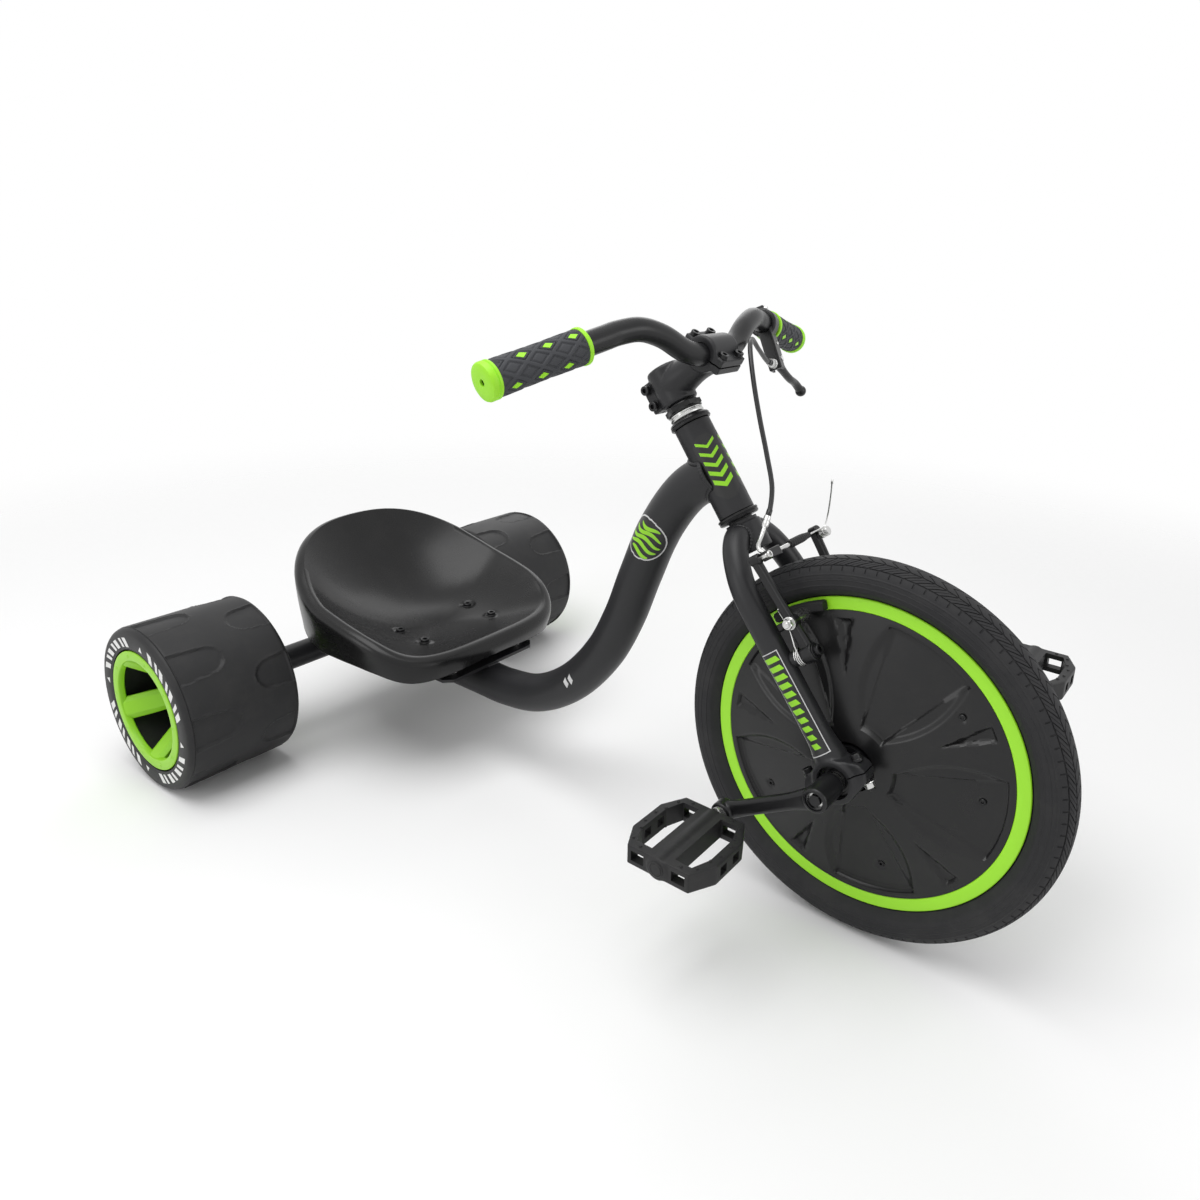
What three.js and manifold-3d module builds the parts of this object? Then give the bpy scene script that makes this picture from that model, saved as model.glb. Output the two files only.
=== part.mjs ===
import * as THREE from 'three';
import { mergeVertices } from 'three/addons/utils/BufferGeometryUtils.js';
import Module from 'manifold-3d';

const wasm = await Module();
wasm.setup();

// A drift trike: a pedalled and steered front wheel with a rim brake, a low bucket seat on one bent
// tube, and two wide slick rear wheels. Millimetres, +X forward, +Y to the rider's left, +Z up.
// The origin is on the ground, below the middle of the trike.

// Wheels and stance
const wheelbase = 769;
const frontTyreRadius = 195;
const frontTyreWidth = 42;
const frontTyreHeight = 42.6;
const rimFlangeHeight = 6.7;
const rimDepth = 6;
const beadRadius = frontTyreRadius - frontTyreHeight;
const rimRadius = beadRadius + rimFlangeHeight;
const rimInner = beadRadius - rimDepth;
const rearWheelRadius = 102.6;
const rearWheelWidth = 139.5;
const rearTrackOutside = 637;
const headAngle = THREE.MathUtils.degToRad(54);
const axleOffset = 8;

// Clearances
const seatGap = 0.3;
const runGap = 0.4;
const overrun = 5;
const weldTolerance = 0.0001;

// Counts
const wheelSides = 36;
const rearSides = 28;
const turnedSides = 16;
const smallSides = 8;
const tubeSides = 12;

// Colours and finishes
const charcoal = new THREE.MeshStandardMaterial({ color: 0x28282b, roughness: 0.5, metalness: 0.3 });
const glossBlack = new THREE.MeshStandardMaterial({ color: 0x0c0c0d, roughness: 0.2, metalness: 0.1 });
const blackMetal = new THREE.MeshStandardMaterial({ color: 0x141416, roughness: 0.35, metalness: 0.6 });
const blackPlastic = new THREE.MeshStandardMaterial({ color: 0x1a1a1c, roughness: 0.55, metalness: 0 });
const tyreRubber = new THREE.MeshStandardMaterial({ color: 0x2b2b2d, roughness: 0.8, metalness: 0 });
const gripRubber = new THREE.MeshStandardMaterial({ color: 0x36353b, roughness: 0.85, metalness: 0 });
const lime = new THREE.MeshStandardMaterial({ color: 0x9fe51f, roughness: 0.45, metalness: 0 });
const steel = new THREE.MeshStandardMaterial({ color: 0xb9bbbf, roughness: 0.25, metalness: 1 });

const trike = new THREE.Group();
const chassis = new THREE.Group();
chassis.position.x = -(wheelbase + frontTyreRadius - rearWheelRadius) / 2;
trike.add(chassis);

// Geometry helpers

// Welds a geometry into one closed shell of positions only, with its faces pointing out.
function welded(geometry) {
  const bare = new THREE.BufferGeometry();
  bare.setAttribute('position', geometry.getAttribute('position'));
  bare.setIndex(geometry.index);
  const joined = mergeVertices(bare, weldTolerance);
  const corners = joined.index.array;
  const kept = [];
  for (let i = 0; i < corners.length; i += 3) {
    const [a, b, c] = [corners[i], corners[i + 1], corners[i + 2]];
    if (a !== b && b !== c && c !== a) {
      kept.push(a, b, c);
    }
  }
  joined.setIndex(kept);
  return signedVolume(joined) < 0 ? flipped(joined) : joined;
}

function signedVolume(geometry) {
  const position = geometry.getAttribute('position');
  const index = geometry.index.array;
  const [a, b, c] = [new THREE.Vector3(), new THREE.Vector3(), new THREE.Vector3()];
  let total = 0;
  for (let i = 0; i < index.length; i += 3) {
    a.fromBufferAttribute(position, index[i]);
    b.fromBufferAttribute(position, index[i + 1]);
    c.fromBufferAttribute(position, index[i + 2]);
    total += a.dot(b.cross(c)) / 6;
  }
  return total;
}

function flipped(geometry) {
  const index = Array.from(geometry.index.array);
  for (let i = 0; i < index.length; i += 3) {
    [index[i], index[i + 1]] = [index[i + 1], index[i]];
  }
  geometry.setIndex(index);
  return geometry;
}

function toSolid(geometry) {
  return new wasm.Manifold(new wasm.Mesh({
    numProp: 3,
    vertProperties: Float32Array.from(geometry.getAttribute('position').array),
    triVerts: Uint32Array.from(geometry.index.array),
  }));
}

function fromSolid(solid) {
  const mesh = solid.getMesh();
  const geometry = new THREE.BufferGeometry();
  geometry.setAttribute('position', new THREE.BufferAttribute(mesh.vertProperties, 3));
  geometry.setIndex(Array.from(mesh.triVerts));
  return geometry;
}

function join(first, ...others) {
  return fromSolid(others.reduce((sum, other) => sum.add(toSolid(other)), toSolid(first)));
}

function cut(first, ...others) {
  return fromSolid(others.reduce((rest, other) => rest.subtract(toSolid(other)), toSolid(first)));
}

// The larger piece of a cut that leaves offcuts.
function largestPiece(geometry) {
  const pieces = toSolid(geometry).decompose();
  return fromSolid(pieces.reduce((best, piece) => (piece.volume() > best.volume() ? piece : best)));
}

// A closed profile of [radius, height] pairs turned about the Y axis.
function turned(profile, sides, start = 0) {
  const points = profile.map(([radius, height]) => new THREE.Vector2(radius, height));
  if (profile[0][0] > 0) {
    points.push(points[0].clone());
  }
  return welded(new THREE.LatheGeometry(points, sides, start));
}

// The corner radius of a many-sided bore whose flats lie at the radius asked for.
function boreCorner(radius, sides) {
  return radius / Math.cos(Math.PI / sides);
}

// A hollow or solid cylinder from one height to another along the Y axis.
function sleeve(innerRadius, outerRadius, low, high, sides) {
  const inner = boreCorner(innerRadius, sides);
  return turned([[inner, low], [outerRadius, low], [outerRadius, high], [inner, high]], sides);
}

// Moves geometry made along +Y so that it starts at one point and runs towards another.
function along(geometry, start, end) {
  const direction = end.clone().sub(start).normalize();
  const turn = new THREE.Quaternion().setFromUnitVectors(new THREE.Vector3(0, 1, 0), direction);
  return geometry.applyQuaternion(turn).translate(start.x, start.y, start.z);
}

function rod(start, end, radius, sides) {
  return along(sleeve(0, radius, 0, start.distanceTo(end), sides), start, end);
}

// A rod to cut with, wide enough for a round pin of the radius asked for.
function borer(start, end, radius, sides) {
  return rod(start, end, boreCorner(radius, sides), sides);
}

// The same cutter along the Y axis, between two heights.
function plug(radius, low, high, sides) {
  return sleeve(0, boreCorner(radius, sides), low, high, sides);
}

function box(low, high) {
  const size = new THREE.Vector3().subVectors(high, low);
  const middle = new THREE.Vector3().addVectors(low, high).multiplyScalar(0.5);
  const geometry = new THREE.BoxGeometry(size.x, size.y, size.z);
  return welded(geometry).translate(middle.x, middle.y, middle.z);
}

function at(x, y, z) {
  return new THREE.Vector3(x, y, z);
}

function ringPoints(radius, sides) {
  const points = [];
  for (let i = 0; i < sides; i += 1) {
    const angle = (i + 0.5) * 2 * Math.PI / sides;
    points.push(new THREE.Vector2(radius * Math.cos(angle), radius * Math.sin(angle)));
  }
  return points;
}

// A round tube along a smooth curve through the points, hollow if it has a wall.
function bentTube(points, radius, wall, sides, steps) {
  const section = new THREE.Shape(ringPoints(radius, sides));
  if (wall > 0) {
    section.holes.push(new THREE.Path(ringPoints(radius - wall, sides)));
  }
  const path = new THREE.CatmullRomCurve3(points);
  return welded(new THREE.ExtrudeGeometry(section, { steps, extrudePath: path }));
}

// A flat outline of [u, v] pairs extruded by a depth along +Z.
function plate(outline, depth) {
  const shape = new THREE.Shape(outline.map(([u, v]) => new THREE.Vector2(u, v)));
  return welded(new THREE.ExtrudeGeometry(shape, { depth, bevelEnabled: false }));
}

// The same plate with holes or slots of the given outlines cut through it.
function piercedPlate(outline, depth, holes) {
  const cutters = holes.map((hole) => plate(hole, depth + 2 * overrun).translate(0, 0, -overrun));
  return cut(plate(outline, depth), ...cutters);
}

function circle(centreU, centreV, radius, sides) {
  return ringPoints(radius, sides).map((point) => [centreU + point.x, centreV + point.y]);
}

// A closed skin over a stack of rings, with its first and last rings drawn in to a point.
function skin(rings) {
  const count = rings[0].length;
  const vertices = rings.flat();
  const index = [];
  for (let r = 0; r < rings.length - 1; r += 1) {
    for (let i = 0; i < count; i += 1) {
      const [a, b] = [r * count + i, r * count + (i + 1) % count];
      index.push(a, b, a + count, b, b + count, a + count);
    }
  }
  const [first, last] = [middleOf(rings[0]), middleOf(rings[rings.length - 1])];
  const base = (rings.length - 1) * count;
  vertices.push(first, last);
  for (let i = 0; i < count; i += 1) {
    index.push(vertices.length - 2, (i + 1) % count, i);
    index.push(vertices.length - 1, base + i, base + (i + 1) % count);
  }
  const geometry = new THREE.BufferGeometry().setFromPoints(vertices);
  geometry.setIndex(index);
  return welded(geometry);
}

// A closed skin over rings that form a loop, so that the body has a hole through its middle.
function closedBand(rings) {
  const count = rings[0].length;
  const index = [];
  for (let r = 0; r < rings.length; r += 1) {
    const next = (r + 1) % rings.length;
    for (let i = 0; i < count; i += 1) {
      const j = (i + 1) % count;
      index.push(r * count + i, r * count + j, next * count + i);
      index.push(r * count + j, next * count + j, next * count + i);
    }
  }
  const geometry = new THREE.BufferGeometry().setFromPoints(rings.flat());
  geometry.setIndex(index);
  return welded(geometry);
}

function middleOf(ring) {
  const sum = ring.reduce((total, point) => total.add(point), new THREE.Vector3());
  return sum.multiplyScalar(1 / ring.length);
}

function add(parent, name, geometry, material) {
  const mesh = new THREE.Mesh(geometry, material);
  mesh.name = name;
  parent.add(mesh);
  return mesh;
}

// The two sides of the trike: the rider's right has negative Y.
const sides = [
  { name: 'right', sign: -1 },
  { name: 'left', sign: 1 },
];

// Mirrors geometry made for the left side onto the right side.
function toSide(geometry, sign) {
  return sign > 0 ? geometry : flipped(geometry.scale(1, -1, 1));
}

// Steering axis and the tilted group that follows it: its Z runs up the axis and its origin is the axle
const rake = Math.PI / 2 - headAngle;
const frontAxle = at(wheelbase, 0, frontTyreRadius);

function tiltedGroup() {
  const group = new THREE.Group();
  group.position.copy(frontAxle);
  group.rotation.y = -rake;
  chassis.add(group);
  return group;
}

const headGroup = tiltedGroup();
const steering = tiltedGroup();
const steerX = -axleOffset;

// A point of the tilted frame in the chassis frame.
function fromTilted(x, y, z) {
  return at(x, y, z).applyAxisAngle(at(0, 1, 0), -rake).add(frontAxle);
}

// Head tube and headset
const headTubeRadius = 19;
const headTubeWall = 3;
const headTubeLength = 100;
const headJoinShare = 0.46;
const cupHeight = 6.5;
const crownTyreGap = 25;
const crownHeight = 29.5;
const crownGap = 5;
// The crown clears the tyre, and the lower cup and the head tube stand on the crown.
const headTubeBottom = frontTyreRadius + crownTyreGap + crownHeight + crownGap + cupHeight;
const headTubeTop = headTubeBottom + headTubeLength;
const headJoinHeight = headTubeBottom + headTubeLength * headJoinShare;
const steererRadius = 12.7;
const steererWall = 2.6;
const cupFlangeRadius = 21.5;
const cupInsertDepth = 9;
const cupBevel = 1.5;
const coneRadius = 18;
const coneHeight = 7;
const coneBevel = 2;
const locknutHeight = 8.5;
const locknutCorner = 20;

function headTube() {
  const bore = headTubeRadius - headTubeWall;
  const tube = sleeve(bore, headTubeRadius, headTubeBottom, headTubeTop, turnedSides);
  return tube.rotateX(Math.PI / 2).translate(steerX, 0, 0);
}

// A cup made with its flange standing up from height zero and its insert reaching below.
function headsetCup() {
  const insertRadius = headTubeRadius - headTubeWall - seatGap;
  const innerRadius = steererRadius + runGap;
  const profile = [
    [innerRadius, -cupInsertDepth],
    [insertRadius, -cupInsertDepth],
    [insertRadius, seatGap],
    [cupFlangeRadius, seatGap],
    [cupFlangeRadius, cupHeight - cupBevel],
    [cupFlangeRadius - cupBevel, cupHeight],
    [innerRadius, cupHeight],
  ];
  return turned(profile, turnedSides).rotateX(Math.PI / 2);
}

// The same cup turned upside down.
function headsetCupBelow() {
  return headsetCup().rotateX(Math.PI);
}

add(headGroup, 'head_tube', headTube(), charcoal);
add(headGroup, 'headset_upper_cup', headsetCup().translate(steerX, 0, headTubeTop), blackMetal);
add(headGroup, 'headset_lower_cup', headsetCupBelow().translate(steerX, 0, headTubeBottom), blackMetal);

// Main tube, from the head tube down to the rear axle tube
const mainTubeRadius = 23.8;
const mainTubeWall = 2.5;
const mainTubeSteps = 18;
const rearAxleDrop = 2.6;
const axleTubeRadius = 17;
const axleTubeWall = 2.5;
const axleBushLength = 20;
const axleRadius = 6;
const axleTubeClearance = 3;
const axleTubeHalf = rearTrackOutside / 2 - rearWheelWidth - axleTubeClearance;
const rearAxle = at(0, 0, rearWheelRadius);
const headJoin = fromTilted(steerX, 0, headJoinHeight);

// Each pair gives how far the tube has come forward to the head tube and how far up it has risen.
const mainTubePathShares = [
  [0, 0],
  [0.2, 0],
  [0.4, 0],
  [0.48, 0],
  [0.573, 0.028],
  [0.671, 0.128],
  [0.756, 0.29],
  [0.806, 0.449],
  [0.843, 0.614],
  [0.887, 0.79],
  [0.943, 0.927],
  [1, 1],
];

function mainTube() {
  const level = rearAxle.z - rearAxleDrop;
  const points = mainTubePathShares.map(([forward, up]) => (
    at(headJoin.x * forward, 0, level + (headJoin.z - level) * up)
  ));
  const tube = bentTube(points, mainTubeRadius, mainTubeWall, tubeSides, mainTubeSteps);
  const headRoom = borer(
    fromTilted(steerX, 0, headTubeBottom - overrun),
    fromTilted(steerX, 0, headTubeTop + overrun),
    headTubeRadius + seatGap,
    turnedSides,
  );
  const axleRoom = borer(
    rearAxle.clone().setY(-mainTubeRadius - overrun),
    rearAxle.clone().setY(mainTubeRadius + overrun),
    axleTubeRadius + seatGap,
    turnedSides,
  );
  return largestPiece(cut(tube, headRoom, axleRoom));
}

// The axle tube narrows at both ends to the bushes that hold the axle.
function axleTube() {
  const bore = axleTubeRadius - axleTubeWall;
  const bush = boreCorner(axleRadius + seatGap, turnedSides);
  const bushStart = axleTubeHalf - axleBushLength;
  return turned([
    [bush, -axleTubeHalf],
    [axleTubeRadius, -axleTubeHalf],
    [axleTubeRadius, axleTubeHalf],
    [bush, axleTubeHalf],
    [bush, bushStart],
    [bore, bushStart],
    [bore, -bushStart],
    [bush, -bushStart],
  ], turnedSides).translate(rearAxle.x, 0, rearAxle.z);
}

add(chassis, 'main_tube', mainTube(), charcoal);
add(chassis, 'rear_axle_tube', axleTube(), charcoal);

// Rear axle, wheels, hubs, bearings and nuts
const rearWheelInner = rearTrackOutside / 2 - rearWheelWidth;
const rearWheelOuter = rearTrackOutside / 2;
const hubRadius = 74.2;
const hubSleeveWall = 4;
const hubBossRadius = 20;
const hubBossRecess = 52;
const hubBossSetback = 6;
const hubBossEnd = rearWheelOuter - hubBossRecess;
const hubBossStart = rearWheelInner + hubBossSetback;
const hubOverlap = 2;
const hubFaceInset = 1;
const hubWebThick = 8;
const hubLipWidth = 12;
const windowCount = 5;
const windowOuterSpread = THREE.MathUtils.degToRad(23);
const windowInnerSpread = THREE.MathUtils.degToRad(8);
const windowInnerRadius = hubBossRadius + hubWebThick;
const rearBearingRadius = 14;
const rearBearingWidth = 10;
const tyreWall = 7;
const tyreFace = 8;
const tyreBevel = 8;
const axleNutCorner = 11;
const axleNutHeight = 9;
const axleStub = 4;

function rearTyre() {
  const out = rearWheelRadius / Math.cos(Math.PI / rearSides);
  const inner = (hubRadius + seatGap) / Math.cos(Math.PI / rearSides);
  const profile = [
    [inner, rearWheelInner],
    [out - tyreBevel / 2, rearWheelInner],
    [out, rearWheelInner + tyreBevel / 2],
    [out, rearWheelOuter - tyreBevel],
    [out - tyreBevel / 3, rearWheelOuter - tyreBevel / 3],
    [out - tyreBevel, rearWheelOuter],
    [inner, rearWheelOuter],
    [inner, rearWheelOuter - tyreFace],
    [out - tyreWall, rearWheelOuter - tyreFace],
    [out - tyreWall, rearWheelInner + tyreFace],
    [inner, rearWheelInner + tyreFace],
  ];
  return turned(profile, rearSides, Math.PI / rearSides);
}

// A window between two spokes, narrow by the boss and wide by the lip.
function hubWindow(angle) {
  const outerRadius = hubRadius - hubLipWidth;
  const outline = [];
  for (const [radius, spread] of [[windowInnerRadius, windowInnerSpread], [outerRadius, windowOuterSpread]]) {
    const ends = radius === outerRadius ? [spread, 0, -spread] : [-spread, spread];
    for (const offset of ends) {
      outline.push([radius * Math.cos(angle + offset), radius * Math.sin(angle + offset)]);
    }
  }
  return plate(outline, rearWheelWidth + 2 * overrun)
    .rotateX(-Math.PI / 2)
    .translate(0, rearWheelInner - overrun, 0);
}

function rearHub() {
  const outerLip = sleeve(hubRadius - hubSleeveWall, hubRadius, rearWheelInner, rearWheelOuter, rearSides);
  const web = turned([
    [hubBossRadius - hubOverlap, hubBossEnd - hubOverlap],
    [hubRadius - hubLipWidth, rearWheelOuter - hubFaceInset],
    [hubRadius - hubFaceInset, rearWheelOuter - hubFaceInset],
    [hubRadius - hubFaceInset, rearWheelOuter - hubWebThick],
    [hubBossRadius - hubOverlap, hubBossEnd - 2 * hubWebThick],
  ], rearSides);
  const boss = sleeve(0, hubBossRadius, hubBossStart, hubBossEnd, turnedSides);
  const bearingRoom = plug(
    rearBearingRadius + seatGap,
    hubBossStart - overrun,
    hubBossEnd + overrun,
    turnedSides,
  );
  const windows = [];
  for (let i = 0; i < windowCount; i += 1) {
    windows.push(hubWindow((i + 0.25) * 2 * Math.PI / windowCount));
  }
  const bored = cut(join(web, boss), bearingRoom, ...windows);
  return join(outerLip, bored);
}

function rearBearing() {
  const end = hubBossEnd - seatGap;
  return sleeve(axleRadius + runGap, rearBearingRadius, end - rearBearingWidth, end, turnedSides);
}

function hexNut(boreRadius, cornerRadius, start, height) {
  const bore = plug(boreRadius, start - overrun, start + height + overrun, turnedSides);
  return cut(sleeve(0, cornerRadius, start, start + height, 6), bore);
}

const rearNutStart = hubBossEnd + seatGap;
const rearAxleEnd = rearNutStart + axleNutHeight + axleStub;

add(
  chassis,
  'rear_axle',
  rod(at(0, -rearAxleEnd, rearAxle.z), at(0, rearAxleEnd, rearAxle.z), axleRadius, smallSides),
  steel,
);

for (const { name, sign } of sides) {
  const wheel = new THREE.Group();
  wheel.position.copy(rearAxle);
  chassis.add(wheel);
  add(wheel, `rear_tyre_${name}`, toSide(rearTyre(), sign), tyreRubber);
  add(wheel, `rear_hub_${name}`, toSide(rearHub(), sign), lime);
  add(wheel, `rear_bearing_${name}`, toSide(rearBearing(), sign), steel);
  const nut = hexNut(axleRadius + seatGap, axleNutCorner, rearNutStart, axleNutHeight);
  add(wheel, `rear_axle_nut_${name}`, toSide(nut, sign), steel);
}

// Seat bracket, seat and its bolts
const bracketFront = 254;
const bracketRear = 122;
const bracketHalfWidth = 76;
const bracketThick = 4;
const bracketCorner = 10;
const bracketHoleRadius = 4;
const bracketHoleInset = 18;
const bracketHoleY = 54;
const railWidth = 26;
const railWall = 3;
const railHeight = 22.2;
const seatTyreGap = 24;
const seatRoll = 13;
const seatHalfWidth = rearWheelInner - seatTyreGap - seatRoll;
const seatBoltShare = 0.4;
const seatBoltY = seatHalfWidth * seatBoltShare;
const seatBoltFront = 190;
const seatBoltRear = 142;
const seatBoltRadius = 3.2;
const seatBoltHead = 6.5;
const seatBoltHeadHeight = 3.5;
const plateZ = rearAxle.z - rearAxleDrop + mainTubeRadius * Math.cos(Math.PI / tubeSides) + seatGap;
const railTopZ = plateZ + bracketThick + railHeight;

function seatBracket() {
  const outline = [
    [bracketRear, -bracketHalfWidth],
    [bracketFront - bracketCorner, -bracketHalfWidth],
    [bracketFront, -bracketHalfWidth + bracketCorner],
    [bracketFront, bracketHalfWidth - bracketCorner],
    [bracketFront - bracketCorner, bracketHalfWidth],
    [bracketRear, bracketHalfWidth],
  ];
  const holeX = bracketFront - bracketHoleInset;
  const holes = [-bracketHoleY, bracketHoleY].map((y) => circle(holeX, y, bracketHoleRadius, smallSides));
  const base = piercedPlate(outline, bracketThick, holes).translate(0, 0, plateZ);
  const railEnd = bracketFront - 2 * bracketHoleInset;
  const rails = [];
  const bores = [];
  for (const y of [-seatBoltY, seatBoltY]) {
    const [low, high] = [plateZ + bracketThick / 2, railTopZ];
    const outer = box(at(bracketRear, y - railWidth / 2, low), at(railEnd, y + railWidth / 2, high));
    const hollow = box(
      at(bracketRear - overrun, y - railWidth / 2 + railWall, plateZ + bracketThick),
      at(railEnd + overrun, y + railWidth / 2 - railWall, high - railWall),
    );
    rails.push(cut(outer, hollow));
    for (const x of [seatBoltRear, seatBoltFront]) {
      bores.push(borer(
        at(x, y, plateZ - overrun),
        at(x, y, railTopZ + overrun),
        seatBoltRadius + seatGap,
        smallSides,
      ));
    }
  }
  return cut(join(base, ...rails), ...bores);
}

// The seat's plan is rounder behind and squarer in front; its crest falls from the back to the lip.
const seatMiddleX = 113;
const seatHalfLength = 138;
const seatPanX = 152;
const seatPanStand = 3.5;
const seatBackRise = 118;
const seatLipRise = 12;
const seatPanHeight = railTopZ + seatPanStand;
const seatBackHeight = seatPanHeight + seatBackRise;
const seatLipHeight = seatPanHeight + seatLipRise;
const seatShell = 5;
const seatRollDrop = 12.7;
const seatSkirt = 57;
const seatSkirtSlope = 0.56;
const seatSkirtTuck = 5;
const seatSides = 28;
const seatBackPower = 2.2;
const seatFrontPower = 3.6;
const seatDishPower = 2.6;
const seatBossRadius = 8;
const seatBossStand = 3.2;
const shankClearance = 2;
const seatDishShares = [0.28, 0.56, 0.8, 1];
// Each pair gives a place from the back of the seat to its lip and the crest's height there.
const seatCrestShares = [
  [0, 1],
  [0.087, 0.9],
  [0.248, 0.68],
  [0.338, 0.55],
  [0.451, 0.43],
  [0.584, 0.358],
  [0.717, 0.285],
  [0.818, 0.2],
  [0.888, 0.1],
  [0.937, 0.03],
  [1, 0],
];

function crestShare(place) {
  for (let i = 1; i < seatCrestShares.length; i += 1) {
    const [[p0, h0], [p1, h1]] = [seatCrestShares[i - 1], seatCrestShares[i]];
    if (place <= p1) {
      return h0 + (h1 - h0) * (place - p0) / (p1 - p0);
    }
  }
  return 0;
}

// A point of the seat's crest at an angle, moved outwards and down by the given lengths.
function crestPoint(angle, outward, down) {
  const [c, s] = [Math.cos(angle), Math.sin(angle)];
  const power = c > 0 ? seatFrontPower : seatBackPower;
  const reach = (Math.abs(c) ** power + Math.abs(s) ** power) ** (-1 / power);
  const across = c < 0 ? 1 - 0.06 * Math.abs(c) : 1;
  const forward = (reach * c + 1) / 2;
  const rise = seatLipHeight + (seatBackHeight - seatLipHeight) * crestShare(forward);
  return at(
    seatMiddleX + (seatHalfLength * reach + outward) * c,
    (seatHalfWidth * reach * across + outward) * s,
    rise - down,
  );
}

function seatRing(place) {
  const ring = [];
  for (let i = 0; i < seatSides; i += 1) {
    ring.push(place(2 * Math.PI * (i + 0.5) / seatSides));
  }
  return ring;
}

// A point inside the dish, a share of the way from the pan to the crest.
function dishPoint(angle, share, sink) {
  const crest = crestPoint(angle, 0, 0);
  const height = seatPanHeight + (crest.z - seatPanHeight) * share ** seatDishPower;
  return at(
    seatPanX + (crest.x - seatPanX) * share,
    crest.y * share,
    height - sink,
  );
}

function seatBolts(radius, low, high) {
  const bolts = [];
  for (const y of [-seatBoltY, seatBoltY]) {
    for (const x of [seatBoltRear, seatBoltFront]) {
      bolts.push(rod(at(x, y, low), at(x, y, high), radius, smallSides));
    }
  }
  return bolts;
}

// How far below the crest the skirt hangs, longer at the back and short at the lip.
function skirtDepth(angle) {
  return seatSkirt * (1 - seatSkirtSlope * Math.cos(angle));
}

const seatBoltSeatZ = seatPanHeight + seatShell + seatBossStand;
const seatUnderDrop = seatRollDrop + seatShell * 0.6;

// The dish with its rolled edge, and a boss at each bolt that rests on the bracket's rails.
function seat() {
  const rings = seatDishShares.map((share) => seatRing((angle) => dishPoint(angle, share, 0)));
  rings.push(seatRing((angle) => crestPoint(angle, seatRoll * 0.7, seatRoll * 0.2)));
  rings.push(seatRing((angle) => crestPoint(angle, seatRoll, seatRollDrop)));
  rings.push(seatRing((angle) => crestPoint(angle, seatRoll - seatShell, seatUnderDrop)));
  rings.push(seatRing((angle) => crestPoint(angle, seatRoll * 0.2, seatShell * 1.5)));
  for (const share of [0.8, 0.28]) {
    rings.push(seatRing((angle) => dishPoint(angle, share, seatShell)));
  }
  const bossLow = railTopZ + seatGap;
  const bores = seatBolts(seatBoltRadius + seatGap, bossLow - overrun, seatBoltSeatZ + overrun);
  const railRoom = [-seatBoltY, seatBoltY].map((y) => box(
    at(bracketRear - overrun, y - railWidth / 2 - seatGap, plateZ),
    at(bracketFront - 2 * bracketHoleInset + overrun, y + railWidth / 2 + seatGap, bossLow),
  ));
  const body = join(skin(rings), ...seatBolts(seatBossRadius, bossLow, seatBoltSeatZ));
  return cut(body, ...railRoom, ...bores);
}

// The wall that hangs below the rolled edge, all the way round.
function seatSkirtWall() {
  const edge = seatRoll - seatSkirtTuck;
  const wall = closedBand([
    seatRing((angle) => crestPoint(angle, seatRoll, seatRollDrop + 2 * seatGap)),
    seatRing((angle) => crestPoint(angle, edge, skirtDepth(angle))),
    seatRing((angle) => crestPoint(angle, edge - seatShell, skirtDepth(angle))),
    seatRing((angle) => crestPoint(angle, seatRoll - seatShell, seatUnderDrop + 2 * seatGap)),
  ]);
  const plateRoom = box(
    at(bracketRear - overrun, -bracketHalfWidth - overrun, plateZ - seatSkirt),
    at(bracketFront + overrun, bracketHalfWidth + overrun, plateZ + bracketThick + seatGap),
  );
  return cut(wall, plateRoom);
}

function seatBolt(x, y) {
  const shankLow = plateZ + bracketThick + shankClearance;
  const head = rod(
    at(x, y, seatBoltSeatZ + seatGap),
    at(x, y, seatBoltSeatZ + seatGap + seatBoltHeadHeight),
    seatBoltHead,
    smallSides,
  );
  const shank = rod(at(x, y, shankLow), at(x, y, seatBoltSeatZ + seatBoltHeadHeight), seatBoltRadius, smallSides);
  return join(head, shank);
}

add(chassis, 'seat_bracket', seatBracket(), charcoal);
add(chassis, 'seat', seat(), glossBlack);
add(chassis, 'seat_skirt', seatSkirtWall(), glossBlack);
let boltNumber = 1;
for (const x of [seatBoltRear, seatBoltFront]) {
  for (const y of [-seatBoltY, seatBoltY]) {
    add(chassis, `seat_bolt_${boltNumber}`, seatBolt(x, y), blackMetal);
    boltNumber += 1;
  }
}

// Fork: crown with steerer, two bent legs with brake bosses, and the split clamps at the axle
const crownRadius = 18.5;
const crownTop = headTubeBottom - cupHeight - crownGap;
const crownBottom = crownTop - crownHeight;
const crownRaceRadius = 16.5;
const crownRaceHeight = 3;
const steererReach = 63;
const steererTop = headTubeTop + steererReach;
const legRadius = 12.8;
const legWall = 2;
const legSteps = 9;
const legSides = 8;
const clampInner = 46;
const clampOuter = 70;
const clampRadius = 22;
const clampEarReach = 35;
const clampEarHeight = 12;
const clampEarInset = 2;
const clampSplit = 0.6;
const clampBoltX = 28;
const clampBoltRadius = 3;
const crankBearingRadius = 16;
const crankBearingWidth = 12;
const spindleRadius = 7.5;
const pivotY = 46;
const pivotDrop = 39.4;
const pivotZ = beadRadius - pivotDrop;
const brakeArmX = 21;
const brakeArmDepth = 12;
const pivotBossRadius = 7;
const pivotBoltRadius = 3.4;

function forkCrown() {
  const bore = steererRadius - steererWall;
  const profile = [
    [bore, crownBottom],
    [crownRadius, crownBottom],
    [crownRadius, crownTop],
    [crownRaceRadius, crownTop],
    [crownRaceRadius, crownTop + crownRaceHeight],
    [steererRadius, crownTop + crownRaceHeight],
    [steererRadius, steererTop],
    [bore, steererTop],
  ];
  return turned(profile, turnedSides).rotateX(Math.PI / 2).translate(steerX, 0, 0);
}

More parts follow.
